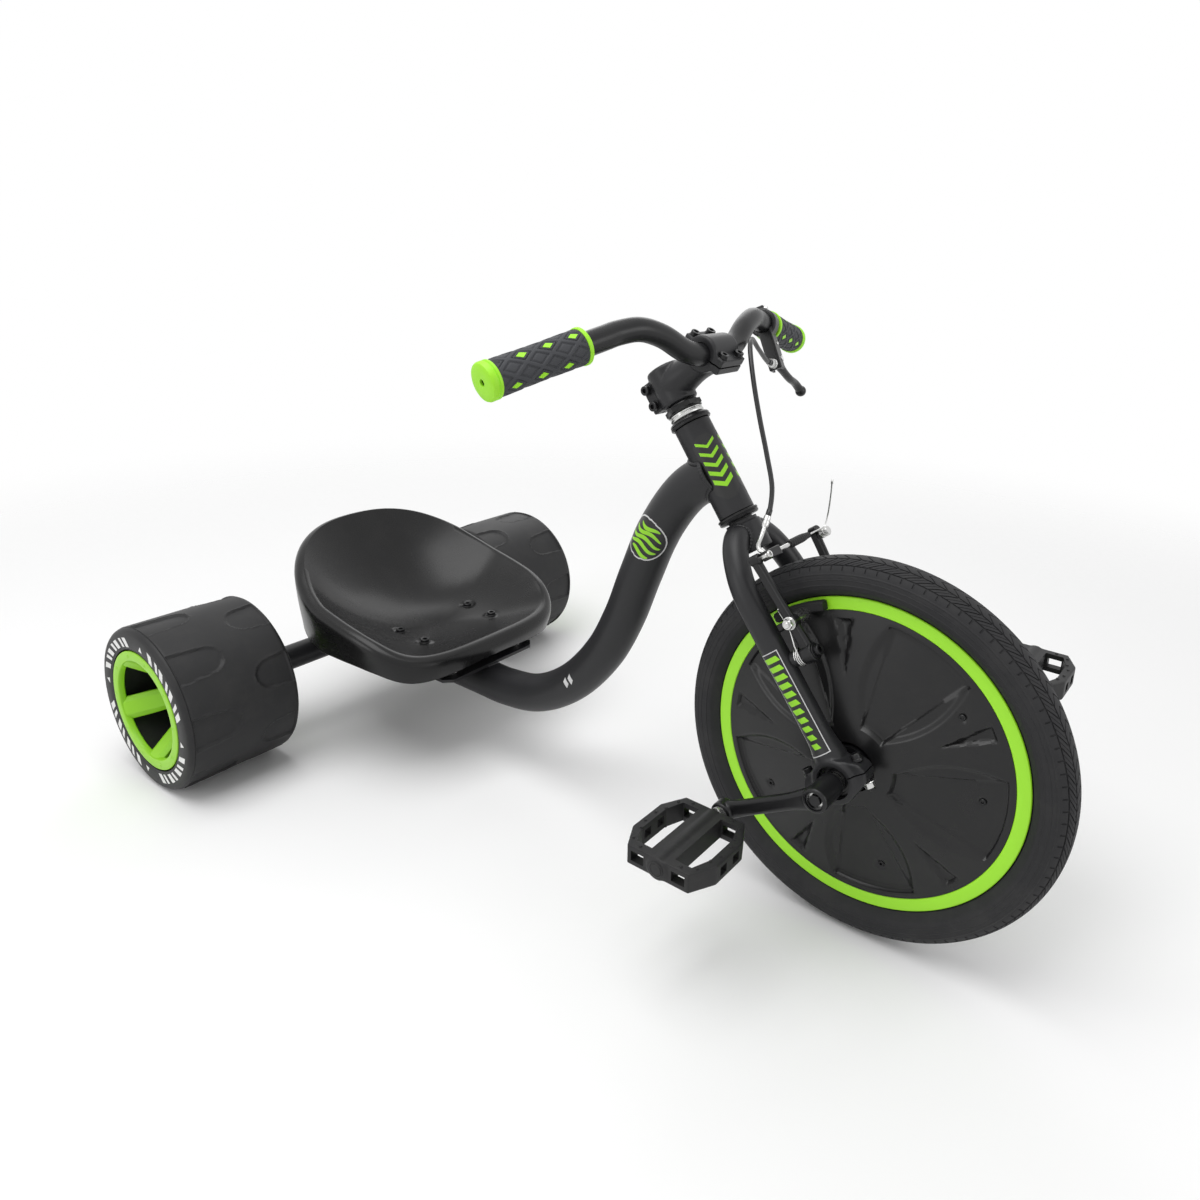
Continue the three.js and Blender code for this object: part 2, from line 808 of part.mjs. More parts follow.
// The leg's middle line as shares of the axle offset, the clamp's middle and the crown's height.
const legPathShares = [
  [-1, 0.17, 0.965],
  [-1, 0.34, 0.954],
  [-1, 0.53, 0.914],
  [-1, 0.7, 0.845],
  [-1, 0.81, 0.762],
  [-0.8, 0.86, 0.6],
  [-0.4, 0.9, 0.34],
  [0, 0.935, 0.07],
];

// One leg with its brake post and the upper half of the clamp, as one welded piece.
function forkLeg() {
  const clampMiddle = (clampInner + clampOuter) / 2;
  const points = legPathShares.map(([x, y, z]) => at(axleOffset * x, clampMiddle * y, crownTop * z));
  const tube = bentTube(points, legRadius, legWall, legSides, legSteps);
  const bossRoot = legRadius - legWall - axleOffset / 2;
  const boss = rod(
    at(bossRoot, pivotY, pivotZ),
    at(brakeArmX - seatGap, pivotY, pivotZ),
    pivotBossRadius,
    smallSides,
  );
  const stud = rod(
    at(bossRoot, pivotY, pivotZ),
    at(brakeArmX + brakeArmDepth + seatGap, pivotY, pivotZ),
    pivotBoltRadius,
    smallSides,
  );
  const crownRoom = plug(crownRadius + seatGap, crownBottom - 2 * overrun, steererTop, turnedSides)
    .rotateX(Math.PI / 2)
    .translate(steerX, 0, 0);
  const bearingRoom = borer(
    at(0, clampInner - 2 * overrun, 0),
    at(0, clampOuter + 2 * overrun, 0),
    crankBearingRadius + seatGap,
    turnedSides,
  );
  return largestPiece(cut(join(tube, boss, stud, clampHalf(true)), crownRoom, bearingRoom));
}

// The round block with ears that grips the crank bearing, before it is split.
function clampBlock() {
  const round = rod(at(0, clampInner, 0), at(0, clampOuter, 0), clampRadius, turnedSides);
  const ears = box(
    at(-clampEarReach, clampInner + clampEarInset, -clampEarHeight),
    at(clampEarReach, clampOuter - clampEarInset, clampEarHeight),
  );
  const bore = borer(
    at(0, clampInner - overrun, 0),
    at(0, clampOuter + overrun, 0),
    crankBearingRadius + seatGap,
    turnedSides,
  );
  const boltHoles = [-clampBoltX, clampBoltX].map((x) => clampBoltRod(x, clampBoltRadius + seatGap));
  return cut(join(round, ears), bore, ...boltHoles);
}

function clampBoltRod(x, radius) {
  const y = (clampInner + clampOuter) / 2;
  const reach = clampEarHeight + overrun;
  return rod(at(x, y, -reach), at(x, y, reach), radius, smallSides);
}

// Half of the clamp block: the part above the split, or the part below it.
function clampHalf(upper) {
  const reach = clampRadius + clampEarReach;
  const [low, high] = upper ? [-reach, clampSplit] : [-clampSplit, reach];
  const removed = box(at(-reach, clampInner - overrun, low), at(reach, clampOuter + overrun, high));
  return cut(clampBlock(), removed);
}

function crankBearing() {
  const start = (clampInner + clampOuter - crankBearingWidth) / 2;
  return sleeve(spindleRadius + runGap, crankBearingRadius, start, start + crankBearingWidth, turnedSides);
}

add(steering, 'fork_crown', forkCrown(), charcoal);
for (const { name, sign } of sides) {
  add(steering, `fork_leg_${name}`, toSide(forkLeg(), sign), charcoal);
  add(steering, `fork_clamp_cap_${name}`, toSide(clampHalf(false), sign), charcoal);
  add(steering, `crank_bearing_${name}`, toSide(crankBearing(), sign), steel);
}

// Threaded cone and hexagon locknut that hold the steerer in the head tube
const coneStart = headTubeTop + cupHeight + runGap;

function headsetCone() {
  const profile = [
    [steererRadius + seatGap, 0],
    [coneRadius - coneBevel, 0],
    [coneRadius, coneBevel],
    [coneRadius, coneHeight],
    [steererRadius + seatGap, coneHeight],
  ];
  return turned(profile, turnedSides).rotateX(Math.PI / 2).translate(steerX, 0, coneStart);
}

function headsetLocknut() {
  const nut = hexNut(steererRadius + seatGap, locknutCorner, 0, locknutHeight);
  return nut.rotateX(Math.PI / 2).translate(steerX, 0, coneStart + coneHeight + seatGap);
}

add(steering, 'headset_cone', headsetCone(), steel);
add(steering, 'headset_locknut', headsetLocknut(), blackMetal);

// Stem and its cap
const stemClearance = 1;
const stemBottom = coneStart + coneHeight + locknutHeight + 2 * seatGap + stemClearance;
const stemTop = steererTop + stemClearance;
const stemRadius = 19;
const stemEarReach = 13;
const stemEarHalf = 10;
const stemEarInset = 2;
const stemSlit = 1.2;
const barX = 52;
const barDrop = 16;
const barZ = steererTop - barDrop;
const barRadius = 11.1;
const barWall = 1.8;
const barSides = 8;
const barSteps = 20;
const barClampRadius = 18;
const barClampWidth = 42;
const capTilt = THREE.MathUtils.degToRad(26);
const capLug = 25;
const capLugDepth = 8;
const capSplit = 0.8;

// Geometry made about the bar's axis, with its cap towards +X, tilted to the cap's own direction.
function aboutBar(geometry) {
  return geometry.rotateY(-capTilt).translate(barX, 0, barZ);
}

function barClampBlock() {
  const half = barClampWidth / 2;
  const round = sleeve(0, barClampRadius, -half, half, turnedSides);
  const lugs = box(at(-capLugDepth, -half, -capLug), at(capLugDepth, half, capLug));
  const bore = plug(barRadius + seatGap, -half - overrun, half + overrun, turnedSides);
  return cut(join(round, lugs), bore);
}

function stem() {
  const half = barClampWidth / 2;
  const reach = capLug + overrun;
  const steererClamp = sleeve(0, stemRadius, stemBottom, stemTop, turnedSides)
    .rotateX(Math.PI / 2)
    .translate(steerX, 0, 0);
  const ears = box(
    at(steerX - stemRadius - stemEarReach, -stemEarHalf, stemBottom + stemEarInset),
    at(steerX, stemEarHalf, stemTop - 2 * stemEarInset),
  );
  const neckRadius = (stemTop - stemBottom) / 2 - stemEarInset;
  const neckZ = (stemTop + stemBottom) / 2;
  const neck = sleeve(0, neckRadius, 0, barX - steerX - barRadius, turnedSides)
    .rotateZ(-Math.PI / 2)
    .translate(steerX, 0, neckZ);
  const openFace = aboutBar(box(at(-capSplit, -half - overrun, -reach), at(reach, half + overrun, reach)));
  const barRoom = aboutBar(plug(barRadius + seatGap, -half - overrun, half + overrun, turnedSides));
  const steererRoom = plug(steererRadius + seatGap, stemBottom - overrun, stemTop + overrun, turnedSides)
    .rotateX(Math.PI / 2)
    .translate(steerX, 0, 0);
  const slit = box(
    at(steerX - stemRadius - stemEarReach - overrun, -stemSlit, stemBottom - overrun),
    at(steerX, stemSlit, stemTop + overrun),
  );
  const body = join(steererClamp, ears, neck, aboutBar(barClampBlock()));
  return largestPiece(cut(body, openFace, barRoom, steererRoom, slit));
}

function stemCap() {
  const half = barClampWidth / 2;
  const reach = capLug + overrun;
  const removed = box(at(-reach, -half - overrun, -reach), at(capSplit, half + overrun, reach));
  return aboutBar(cut(barClampBlock(), removed));
}

add(steering, 'stem', stem(), charcoal);
add(steering, 'stem_cap', stemCap(), charcoal);

// Handlebar and grips, in a level group at the bar's middle
const bars = new THREE.Group();
bars.position.set(barX, 0, barZ);
bars.rotation.y = rake;
steering.add(bars);

const gripReach = 251;
const gripLength = 96;
const gripTilt = at(-0.191, 0.953, -0.233).normalize();
const gripBack = 31;
const gripSide = 155;
const gripRise = 14;
const gripStart = at(-gripBack, gripSide, gripRise);
const bendRise = 26;
const gripCoreRadius = 13;
const gripSleeveRadius = 15.6;
const gripCollarRadius = 16.6;
const gripCollarWidth = 4;
const gripEndWidth = 9;
const gripEndHole = 3;
const gripWaist = 1;

// The bar's half as shares of the grip's start and the bend's rise, out to the straight under the grip.
const barPathShares = [
  [0, 0.16, 0],
  [0.1, 0.28, 0.2],
  [0.3, 0.45, 0.74],
  [0.5, 0.61, 1],
];

function gripPoint(distance) {
  return gripStart.clone().addScaledVector(gripTilt, distance);
}

function handlebar() {
  const half = barPathShares.map(([x, y, z]) => at(gripStart.x * x, gripStart.y * y, bendRise * z));
  half.push(...[-0.42, -0.28, -0.14, 0, 0.5, 1].map((share) => gripPoint(gripLength * share)));
  const mirrored = half.map((point) => point.clone().setY(-point.y)).reverse();
  const points = [...mirrored, at(0, 0, 0), ...half];
  return bentTube(points, barRadius, barWall, barSides, barSteps);
}

// Grip pieces are turned about the grip's axis, from its inner collar at zero to its capped end.
function gripCore() {
  const bore = barRadius + seatGap;
  const total = gripLength + gripCollarWidth;
  const sleeveStart = gripCollarWidth;
  const sleeveEnd = total - gripEndWidth;
  const endWall = gripCollarWidth / 2;
  return turned([
    [bore, 0],
    [gripCollarRadius, 0],
    [gripCollarRadius, sleeveStart],
    [gripCoreRadius, sleeveStart],
    [gripCoreRadius, sleeveEnd],
    [gripCollarRadius, sleeveEnd],
    [gripCollarRadius, total - gripWaist],
    [gripCollarRadius - 2 * gripWaist, total + gripWaist],
    [gripEndHole, total + gripWaist],
    [gripEndHole, total + gripWaist - endWall],
    [bore, total + gripWaist - endWall],
  ], turnedSides);
}

function gripSleeve() {
  const start = gripCollarWidth + seatGap;
  const end = gripLength + gripCollarWidth - gripEndWidth - seatGap;
  const middle = (start + end) / 2;
  const inner = gripCoreRadius + seatGap;
  return turned([
    [inner, start],
    [gripSleeveRadius - gripWaist, start],
    [gripSleeveRadius, start + gripEndWidth],
    [gripSleeveRadius - gripWaist / 2, middle],
    [gripSleeveRadius, end - gripEndWidth],
    [gripSleeveRadius - gripWaist, end],
    [inner, end],
  ], turnedSides);
}

const gripFirst = gripPoint(-gripCollarWidth / 2);

add(bars, 'handlebar', handlebar(), charcoal);
for (const { name, sign } of sides) {
  const [start, end] = [gripFirst, gripPoint(gripReach)];
  add(bars, `grip_core_${name}`, toSide(along(gripCore(), start, end), sign), lime);
  add(bars, `grip_sleeve_${name}`, toSide(along(gripSleeve(), start, end), sign), gripRubber);
}

// Brake lever on the left: its group's Z runs out along the bar and its X points forward and down
const leverSide = new THREE.Group();
const leverSetback = 13;
const leverMiddle = gripPoint(-leverSetback);
const leverForward = at(0.44, 0, -0.898);
leverForward.addScaledVector(gripTilt, -leverForward.dot(gripTilt)).normalize();
const leverNormal = new THREE.Vector3().crossVectors(gripTilt, leverForward);
leverSide.position.copy(leverMiddle);
leverSide.setRotationFromMatrix(new THREE.Matrix4().makeBasis(leverForward, leverNormal, gripTilt));
bars.add(leverSide);

const bracketRing = 15.5;
const bracketRingHalf = 7.5;
const leverPivotX = 42;
const leverPivotZ = 2;
const leverPivotRadius = 3;
const leverHeadHeight = 2;
const leverHalfThick = 4;
const leverCheek = 3;
const leverNose = 2;
const leverTail = 4;
const leverBossRadius = 7;
const leverBallRadius = 6.5;
const leverBladeHalf = 4.5;
const leverTipX = 70;
const leverTipZ = 73;
const leverSteps = 8;
const barrelRadius = 4.2;
const barrelLip = 1;
const barrelLength = 14;
const barrelX = 48;
const housingRadius = 2.5;
const leverSides = 6;

// The blade's line as shares of the way from the pivot to the ball end.
const leverPathShares = [
  [0, 0],
  [0.3, 0.2],
  [0.6, 0.5],
  [0.72, 0.78],
  [1, 1],
];

function leverBracket() {
  const ring = sleeve(0, bracketRing, -bracketRingHalf, bracketRingHalf, turnedSides).rotateX(Math.PI / 2);
  const half = leverHalfThick + runGap + leverCheek;
  const bodyFront = barrelX + barrelRadius + leverNose;
  const body = box(
    at(0, -half, leverPivotZ - leverBossRadius - leverTail),
    at(bodyFront, half, leverPivotZ + leverBossRadius),
  );
  const slot = box(
    at(leverPivotX - leverBossRadius - runGap, -leverHalfThick - runGap, leverPivotZ - leverBossRadius - runGap),
    at(bodyFront + overrun, leverHalfThick + runGap, leverPivotZ + leverBossRadius + overrun),
  );
  const bore = plug(barRadius + seatGap, -2 * bracketRing, 2 * bracketRing, turnedSides)
    .rotateX(Math.PI / 2);
  const pin = sleeve(0, leverPivotRadius, -half, half + leverHeadHeight, smallSides)
    .translate(leverPivotX, 0, leverPivotZ);
  const cableBore = sleeve(0, housingRadius, -2 * barrelLength, 0, smallSides)
    .rotateX(Math.PI / 2)
    .translate(barrelX, 0, leverPivotZ);
  return join(cut(join(ring, body), slot, bore, cableBore), pin);
}

function brakeLever() {
  const points = leverPathShares.map(([x, z]) => at(
    leverPivotX + (leverTipX - leverPivotX) * x,
    0,
    leverPivotZ + (leverTipZ - leverPivotZ) * z,
  ));
  const blade = bentTube(points, leverBladeHalf, 0, leverSides, leverSteps);
  const boss = sleeve(0, leverBossRadius, -leverHalfThick, leverHalfThick, smallSides)
    .translate(leverPivotX, 0, leverPivotZ);
  const ball = welded(new THREE.SphereGeometry(leverBallRadius, smallSides, leverSides))
    .translate(leverTipX, 0, leverTipZ);
  const bore = plug(leverPivotRadius + runGap, -leverBossRadius, leverBossRadius, smallSides)
    .translate(leverPivotX, 0, leverPivotZ);
  const flats = [-1, 1].map((sign) => box(
    at(0, leverHalfThick * sign, -leverTipZ),
    at(leverPivotX + leverBossRadius + overrun, 2 * leverBossRadius * sign, leverTipZ / 4),
  ));
  return cut(join(blade, boss, ball), bore, ...flats);
}

const barrelStart = leverPivotZ - leverBossRadius - leverTail - seatGap;

function barrelAdjuster() {
  const profile = [
    [housingRadius - barrelLip, 0],
    [barrelRadius + barrelLip, 0],
    [barrelRadius + barrelLip, -barrelLength / 3],
    [barrelRadius, -barrelLength / 3],
    [barrelRadius, -barrelLength],
    [housingRadius - barrelLip, -barrelLength],
  ];
  return turned(profile, smallSides).rotateX(Math.PI / 2).translate(barrelX, 0, barrelStart);
}

add(leverSide, 'lever_bracket', leverBracket(), blackMetal);
add(leverSide, 'brake_lever', brakeLever(), blackMetal);
add(leverSide, 'barrel_adjuster', barrelAdjuster(), steel);

// Rim brake: arms, pads, noodle, boot, wire and anchor, in the tilted frame
const armTopY = 57;
const armTopRise = 16;
const armTopZ = frontTyreRadius + armTopRise;
const armHalf = 4.5;
const armBossRadius = 9;
const padInner = 14.7;
const padThick = 9.5;
const padDrop = 5.25;
const padHeight = 10;
const padLow = (rimInner + rimRadius) / 2 - padDrop;
const padHigh = padLow + padHeight;
const padForward = THREE.MathUtils.degToRad(7.5);
const padSpread = THREE.MathUtils.degToRad(10.5);
const padStudX = 27;
const padStudDrop = 1.5;
const padStudZ = padLow - padStudDrop;
const padStudRadius = 3;
const padNutRadius = 5.5;
const padNutHeight = 5;
const padNutClear = 1.2;
const padArcSteps = 5;
const cableX = 36;
const cableDrop = 0.5;
const cableZ = armTopZ - cableDrop;
const cableSides = 6;
const noodleSteps = 14;
const wireSteps = 10;
const housingSteps = 24;
const noodleRadius = 2.2;
const noodleTipY = -20;
const linkDepth = 3.5;
const linkHalf = 5;
const linkReach = 8;
const bootStart = -9;
const bootEnd = 29;
const bootRadius = 4.4;
const wireRadius = 0.8;
const anchorY = 58;
const anchorDrop = 5;
const anchorZ = armTopZ - anchorDrop;
const anchorRadius = 5;
const anchorShank = 2.5;
const anchorHeadDepth = 5;
const anchorOverlap = 1;

// The arm's line from its pivot to its top, as shares; the middle bows outwards.
const armLineShares = [
  [0, 0],
  [0.2, 0.25],
  [0.62, 0.6],
  [1, 1],
];

function armY(share) {
  for (let i = 1; i < armLineShares.length; i += 1) {
    const [[y0, z0], [y1, z1]] = [armLineShares[i - 1], armLineShares[i]];
    if (share <= z1) {
      return pivotY + (armTopY - pivotY) * (y0 + (y1 - y0) * (share - z0) / (z1 - z0));
    }
  }
  return armTopY;
}

function brakeArm() {
  const outline = [];
  const line = armLineShares.map(([, share]) => [armY(share), pivotZ + (armTopZ - pivotZ) * share]);
  for (const [y, z] of line) {
    outline.push([y + armHalf, z]);
  }
  for (const [y, z] of [...line].reverse()) {
    outline.push([y - armHalf, z]);
  }
  // The outline lies in Y and Z, and the depth runs along X.
  const bar = plate(outline, brakeArmDepth)
    .applyMatrix4(new THREE.Matrix4().makeBasis(at(0, 1, 0), at(0, 0, 1), at(1, 0, 0)))
    .translate(brakeArmX, 0, 0);
  const boss = rod(
    at(brakeArmX, pivotY, pivotZ),
    at(brakeArmX + brakeArmDepth, pivotY, pivotZ),
    armBossRadius,
    turnedSides,
  );
  const pivotBore = borer(
    at(brakeArmX - overrun, pivotY, pivotZ),
    at(brakeArmX + brakeArmDepth + overrun, pivotY, pivotZ),
    pivotBoltRadius + runGap,
    smallSides,
  );
  const studBore = borer(
    at(padStudX, padInner, padStudZ),
    at(padStudX, armTopY + 2 * overrun, padStudZ),
    padStudRadius + seatGap,
    smallSides,
  );
  return cut(join(bar, boss), pivotBore, studBore);
}

function brakePad() {
  const outline = [];
  for (const [radius, direction] of [[padLow, 1], [padHigh, -1]]) {
    for (let i = 0; i <= padArcSteps; i += 1) {
      const angle = padForward + direction * padSpread * (2 * i / padArcSteps - 1);
      outline.push([radius * Math.sin(angle), radius * Math.cos(angle)]);
    }
  }
  const block = plate(outline, padThick)
    .applyMatrix4(new THREE.Matrix4().makeBasis(at(1, 0, 0), at(0, 0, 1), at(0, 1, 0)));
  const shoe = welded(block).translate(0, padInner, 0);
  const studEnd = armY((padStudZ - pivotZ) / (armTopZ - pivotZ)) + armHalf;
  const padMiddle = padInner + padThick / 2;
  const stud = rod(
    at(padStudX, padMiddle, padStudZ),
    at(padStudX, studEnd + padNutHeight + padNutClear, padStudZ),
    padStudRadius,
    smallSides,
  );
  const washer = rod(
    at(padStudX, padMiddle, padStudZ),
    at(padStudX, studEnd - 2 * armHalf - padNutClear, padStudZ),
    padNutRadius,
    smallSides,
  );
  const nut = rod(
    at(padStudX, studEnd + padNutClear, padStudZ),
    at(padStudX, studEnd + padNutHeight + padNutClear, padStudZ),
    padNutRadius,
    smallSides,
  );
  return join(shoe, washer, stud, nut);
}

// The bent steel tube that guides the wire, from its ferrule to the boot.
const noodleRise = 32.5;
const noodleBend = 29.5;
const noodlePathShares = [
  [0, 0, 1],
  [-0.123, -0.237, 0.769],
  [-0.215, -0.542, 0.538],
  [-0.231, -0.847, 0.369],
  [-0.154, -1, 0.2],
  [-0.046, -0.932, 0.055],
  [0, -0.712, 0],
  [0, -0.271, 0],
];
const noodleRoute = noodlePathShares.map(([x, y, z]) => (
  at(cableX + noodleRise * x, noodleTipY + noodleBend * y, cableZ + noodleRise * z)
));
noodleRoute.push(at(cableX, bootStart - seatGap, cableZ));
const ferruleLength = 12;
const ferruleWall = 0.9;

// The noodle with the link that hangs it on the right arm and the ferrule that takes the housing.
function brakeNoodle() {
  const tube = bentTube(noodleRoute, noodleRadius, 0, cableSides, noodleSteps);
  const link = box(
    at(brakeArmX + brakeArmDepth + seatGap, -armTopY, cableZ - linkHalf),
    at(cableX + linkDepth, noodleTipY - linkReach, cableZ + linkHalf),
  );
  const [top, next] = noodleRoute;
  const down = next.clone().sub(top).setLength(ferruleLength);
  const ferrule = rod(top, top.clone().add(down), housingRadius + ferruleWall, smallSides);
  return join(tube, link, ferrule);
}

function brakeBoot() {
  const inner = wireRadius + seatGap;
  const waist = bootRadius * 0.75;
  const length = bootEnd - bootStart;
  const profile = [
    [inner, bootStart],
    [waist, bootStart],
    [bootRadius, bootStart + length * 0.2],
    [bootRadius, bootStart + length * 0.6],
    [waist, bootStart + length * 0.75],
    [waist * 0.8, bootEnd],
    [inner, bootEnd],
  ];
  return turned(profile, smallSides).translate(cableX, 0, cableZ);
}

// The wire's tail beyond the boot, as shares of its rise above the anchor.
const wireTailRise = 37;
const wireTailShares = [
  [0, -0.162, 0],
  [0, 0, 0],
  [0, 0.162, 0.0135],
  [0.162, 0.27, 0.216],
  [0.595, 0.162, 0.649],
  [0.919, 0.054, 1],
];

function brakeWire() {
  const points = [at(cableX, bootStart + 2 * seatGap, cableZ), at(cableX, bootEnd, cableZ)];
  for (const [x, y, z] of wireTailShares) {
    points.push(at(cableX + wireTailRise * x, anchorY + wireTailRise * y, cableZ + wireTailRise * z));
  }
  return bentTube(points, wireRadius, 0, cableSides, wireSteps);
}

// The bolt on the left arm that holds the wire, in a groove below its wide head.
function cableAnchor() {
  const armMiddle = brakeArmX + brakeArmDepth / 2;
  const washer = rod(
    at(armMiddle, anchorY, anchorZ),
    at(cableX - wireRadius - seatGap, anchorY, anchorZ),
    anchorRadius,
    smallSides,
  );
  const headStart = cableX + wireRadius + seatGap;
  const shank = rod(
    at(armMiddle, anchorY, anchorZ),
    at(headStart + anchorOverlap, anchorY, anchorZ),
    anchorShank,
    smallSides,
  );
  const head = rod(
    at(headStart, anchorY, anchorZ),
    at(headStart + anchorHeadDepth, anchorY, anchorZ),
    anchorRadius,
    smallSides,
  );
  return join(washer, shank, head);
}

for (const { name, sign } of sides) {
  const arm = sign > 0 ? join(brakeArm(), cableAnchor()) : brakeArm();
  add(steering, `brake_arm_${name}`, toSide(arm, sign), blackMetal);
  add(steering, `brake_pad_${name}`, toSide(brakePad(), sign), blackPlastic);
}
add(steering, 'brake_noodle', brakeNoodle(), steel);
add(steering, 'brake_boot', brakeBoot(), gripRubber);
add(steering, 'brake_wire', brakeWire(), steel);

// Brake cable housing, from the barrel adjuster down to the noodle, in the level bar frame
const barrelEnd = at(barrelX, 0, barrelStart - barrelLength - seatGap);
const housingStart = leverSide.localToWorld(barrelEnd.clone());
trike.updateMatrixWorld(true);
steering.worldToLocal(leverSide.localToWorld(housingStart.copy(barrelEnd)));
const barrelAxis = at(0, 0, -1).transformDirection(leverSide.matrixWorld)
  .transformDirection(steering.matrixWorld.clone().invert());

// The housing's loop as shares of the bar's reach, the grip's place and the rise from noodle to bar.
const housingLead = 10;
const housingTail = 7;
const housingPathShares = [
  [1.115, 0.465, 0.964],
  [1.365, 0.297, 1],
  [1.481, 0.155, 0.927],
  [1.404, 0.052, 0.733],
  [1.231, 0.013, 0.527],
  [1.038, -0.006, 0.315],
  [0.885, -0.039, 0.139],
];

function brakeHousing() {
  const start = housingStart;
  const low = noodleRoute[0].z;
  const up = noodleRoute[0].clone().sub(noodleRoute[1]).normalize();
  const end = noodleRoute[0].clone().addScaledVector(up, seatGap);
  const loop = housingPathShares.map(([x, y, z]) => at(barX * x, gripSide * y, low + (barZ - low) * z));
  const points = [
    start.clone(),
    start.clone().addScaledVector(barrelAxis, housingLead),
    ...loop,
    end.clone().addScaledVector(up, housingTail),
    end,
  ];
  return bentTube(points, housingRadius, 0, cableSides, housingSteps);
}

add(steering, 'brake_housing', brakeHousing(), blackPlastic);

// Front wheel: tyre, rim, hub with spokes and the two embossed covers
const frontWheel = new THREE.Group();
frontWheel.position.copy(frontAxle);
chassis.add(frontWheel);

const rimHalf = 12.7;
const rimFlange = 2.6;
const frontHubRadius = 22;
const frontHubHalf = 38;
const spokeFlangeRadius = 31;
const spokeFlangeY = 19;
const spokeFlangeHalf = 2;
const spokeRadius = 1.6;
const spokeSides = 4;
const spokeCount = 4;
const coverThick = 2.5;
const coverHoleRadius = 24.5;
const coverTopY = 36;
const coverRimY = 12.2;
const coverCurve = 1.15;
const coverSides = 30;
const panelCount = 5;
const panelSink = 5;
const panelMiddle = THREE.MathUtils.degToRad(24);
const panelHalfAngle = THREE.MathUtils.degToRad(18);
const panelInnerShare = 0.13;
const panelOuterShare = 0.93;

// Tyre section as shares of its height above the bead and of its half width.
const tyreOutsideShares = [
  [0, 0.37],
  [0.15, 0.37],
  [0.32, 0.82],
  [0.56, 1],
  [0.86, 0.8],
  [1, 0.34],
];
const tyreInsideShares = [
  [0.88, 0.4],
  [0.56, 0.84],
  [0.2, 0.28],
  [0, 0.24],
];

function frontTyre() {
  const height = frontTyreRadius / Math.cos(Math.PI / wheelSides) - beadRadius;
  const half = frontTyreWidth / 2;
  const rightWall = [...tyreOutsideShares].map(([up, out]) => [beadRadius + height * up, -half * out]);
  const leftWall = [...tyreOutsideShares].reverse().map(([up, out]) => [beadRadius + height * up, half * out]);
  const leftLining = [...tyreInsideShares].reverse().map(([up, out]) => [beadRadius + height * up, half * out]);
  const rightLining = tyreInsideShares.map(([up, out]) => [beadRadius + height * up, -half * out]);
  return turned([...rightWall, ...leftWall, ...leftLining, ...rightLining], wheelSides, Math.PI / wheelSides);
}

function frontRim() {
  const well = beadRadius - 2 * seatGap;
  return turned([
    [rimInner, -rimHalf],
    [rimRadius, -rimHalf],
    [rimRadius, -rimHalf + rimFlange],
    [well, -rimHalf + rimFlange],
    [well, rimHalf - rimFlange],
    [rimRadius, rimHalf - rimFlange],
    [rimRadius, rimHalf],
    [rimInner, rimHalf],
  ], wheelSides, Math.PI / wheelSides);
}

function frontHub() {
  const barrel = sleeve(0, frontHubRadius, -frontHubHalf, frontHubHalf, turnedSides);
  const parts = [];
  const reach = (rimInner - seatGap) * Math.cos(Math.PI / wheelSides);
  for (const sign of [-1, 1]) {
    const y = spokeFlangeY * sign;
    parts.push(sleeve(0, spokeFlangeRadius, y - spokeFlangeHalf, y + spokeFlangeHalf, turnedSides));
    for (let i = 0; i < spokeCount; i += 1) {
      const angle = 2 * Math.PI * (i + sign / 4) / spokeCount;
      const root = spokeFlangeRadius - 2 * spokeRadius;
      parts.push(rod(
        at(root * Math.cos(angle), y, root * Math.sin(angle)),
        at(reach * Math.cos(angle), 2 * spokeRadius * sign, reach * Math.sin(angle)),
        spokeRadius,
        spokeSides,
      ));
    }
  }
  const bore = plug(spindleRadius + seatGap, -frontHubHalf - overrun, frontHubHalf + overrun, turnedSides);
  return cut(join(barrel, ...parts), bore);
}

// How far a wedge panel is pressed in, a little less towards the rim.
function coverSink(share, angle) {
  const pitch = 2 * Math.PI / panelCount;
  const turn = (angle - panelMiddle) / pitch;
  const offset = Math.abs(turn - Math.round(turn)) * pitch;
  const inBand = share > panelInnerShare && share < panelOuterShare;
  return inBand && offset < panelHalfAngle ? panelSink * (1 - share / 2) : 0;
}

const coverOutsideShares = [0, 0.1, 0.17, 0.9, 0.965, 1];
const coverInsideShares = [1, 0.9, 0.12, 0];

function wheelCover() {
  const rim = (rimInner - seatGap) * Math.cos(Math.PI / wheelSides);
  const ring = (share, dropAt) => {
    const points = [];
    for (let i = 0; i < coverSides; i += 1) {
      const angle = 2 * Math.PI * i / coverSides;
      const radius = coverHoleRadius + (rim - coverHoleRadius) * share;
      const dome = coverTopY - (coverTopY - coverRimY) * share ** coverCurve;
      points.push(at(radius * Math.sin(angle), dome - dropAt(angle), radius * Math.cos(angle)));
    }
    return points;
  };
  const outside = coverOutsideShares.map((share) => ring(share, (angle) => coverSink(share, angle)));
  const inside = coverInsideShares.map((share) => (
    ring(share, () => coverThick + (share > 0 && share < 1 ? panelSink : 0))
  ));
  return closedBand([...outside, ...inside]);
}

add(frontWheel, 'front_tyre', frontTyre(), tyreRubber);
add(frontWheel, 'front_rim', frontRim(), lime);
add(frontWheel, 'front_hub', frontHub(), blackMetal);
for (const { name, sign } of sides) {
  add(frontWheel, `wheel_cover_${name}`, toSide(wheelCover(), sign), blackPlastic);
}

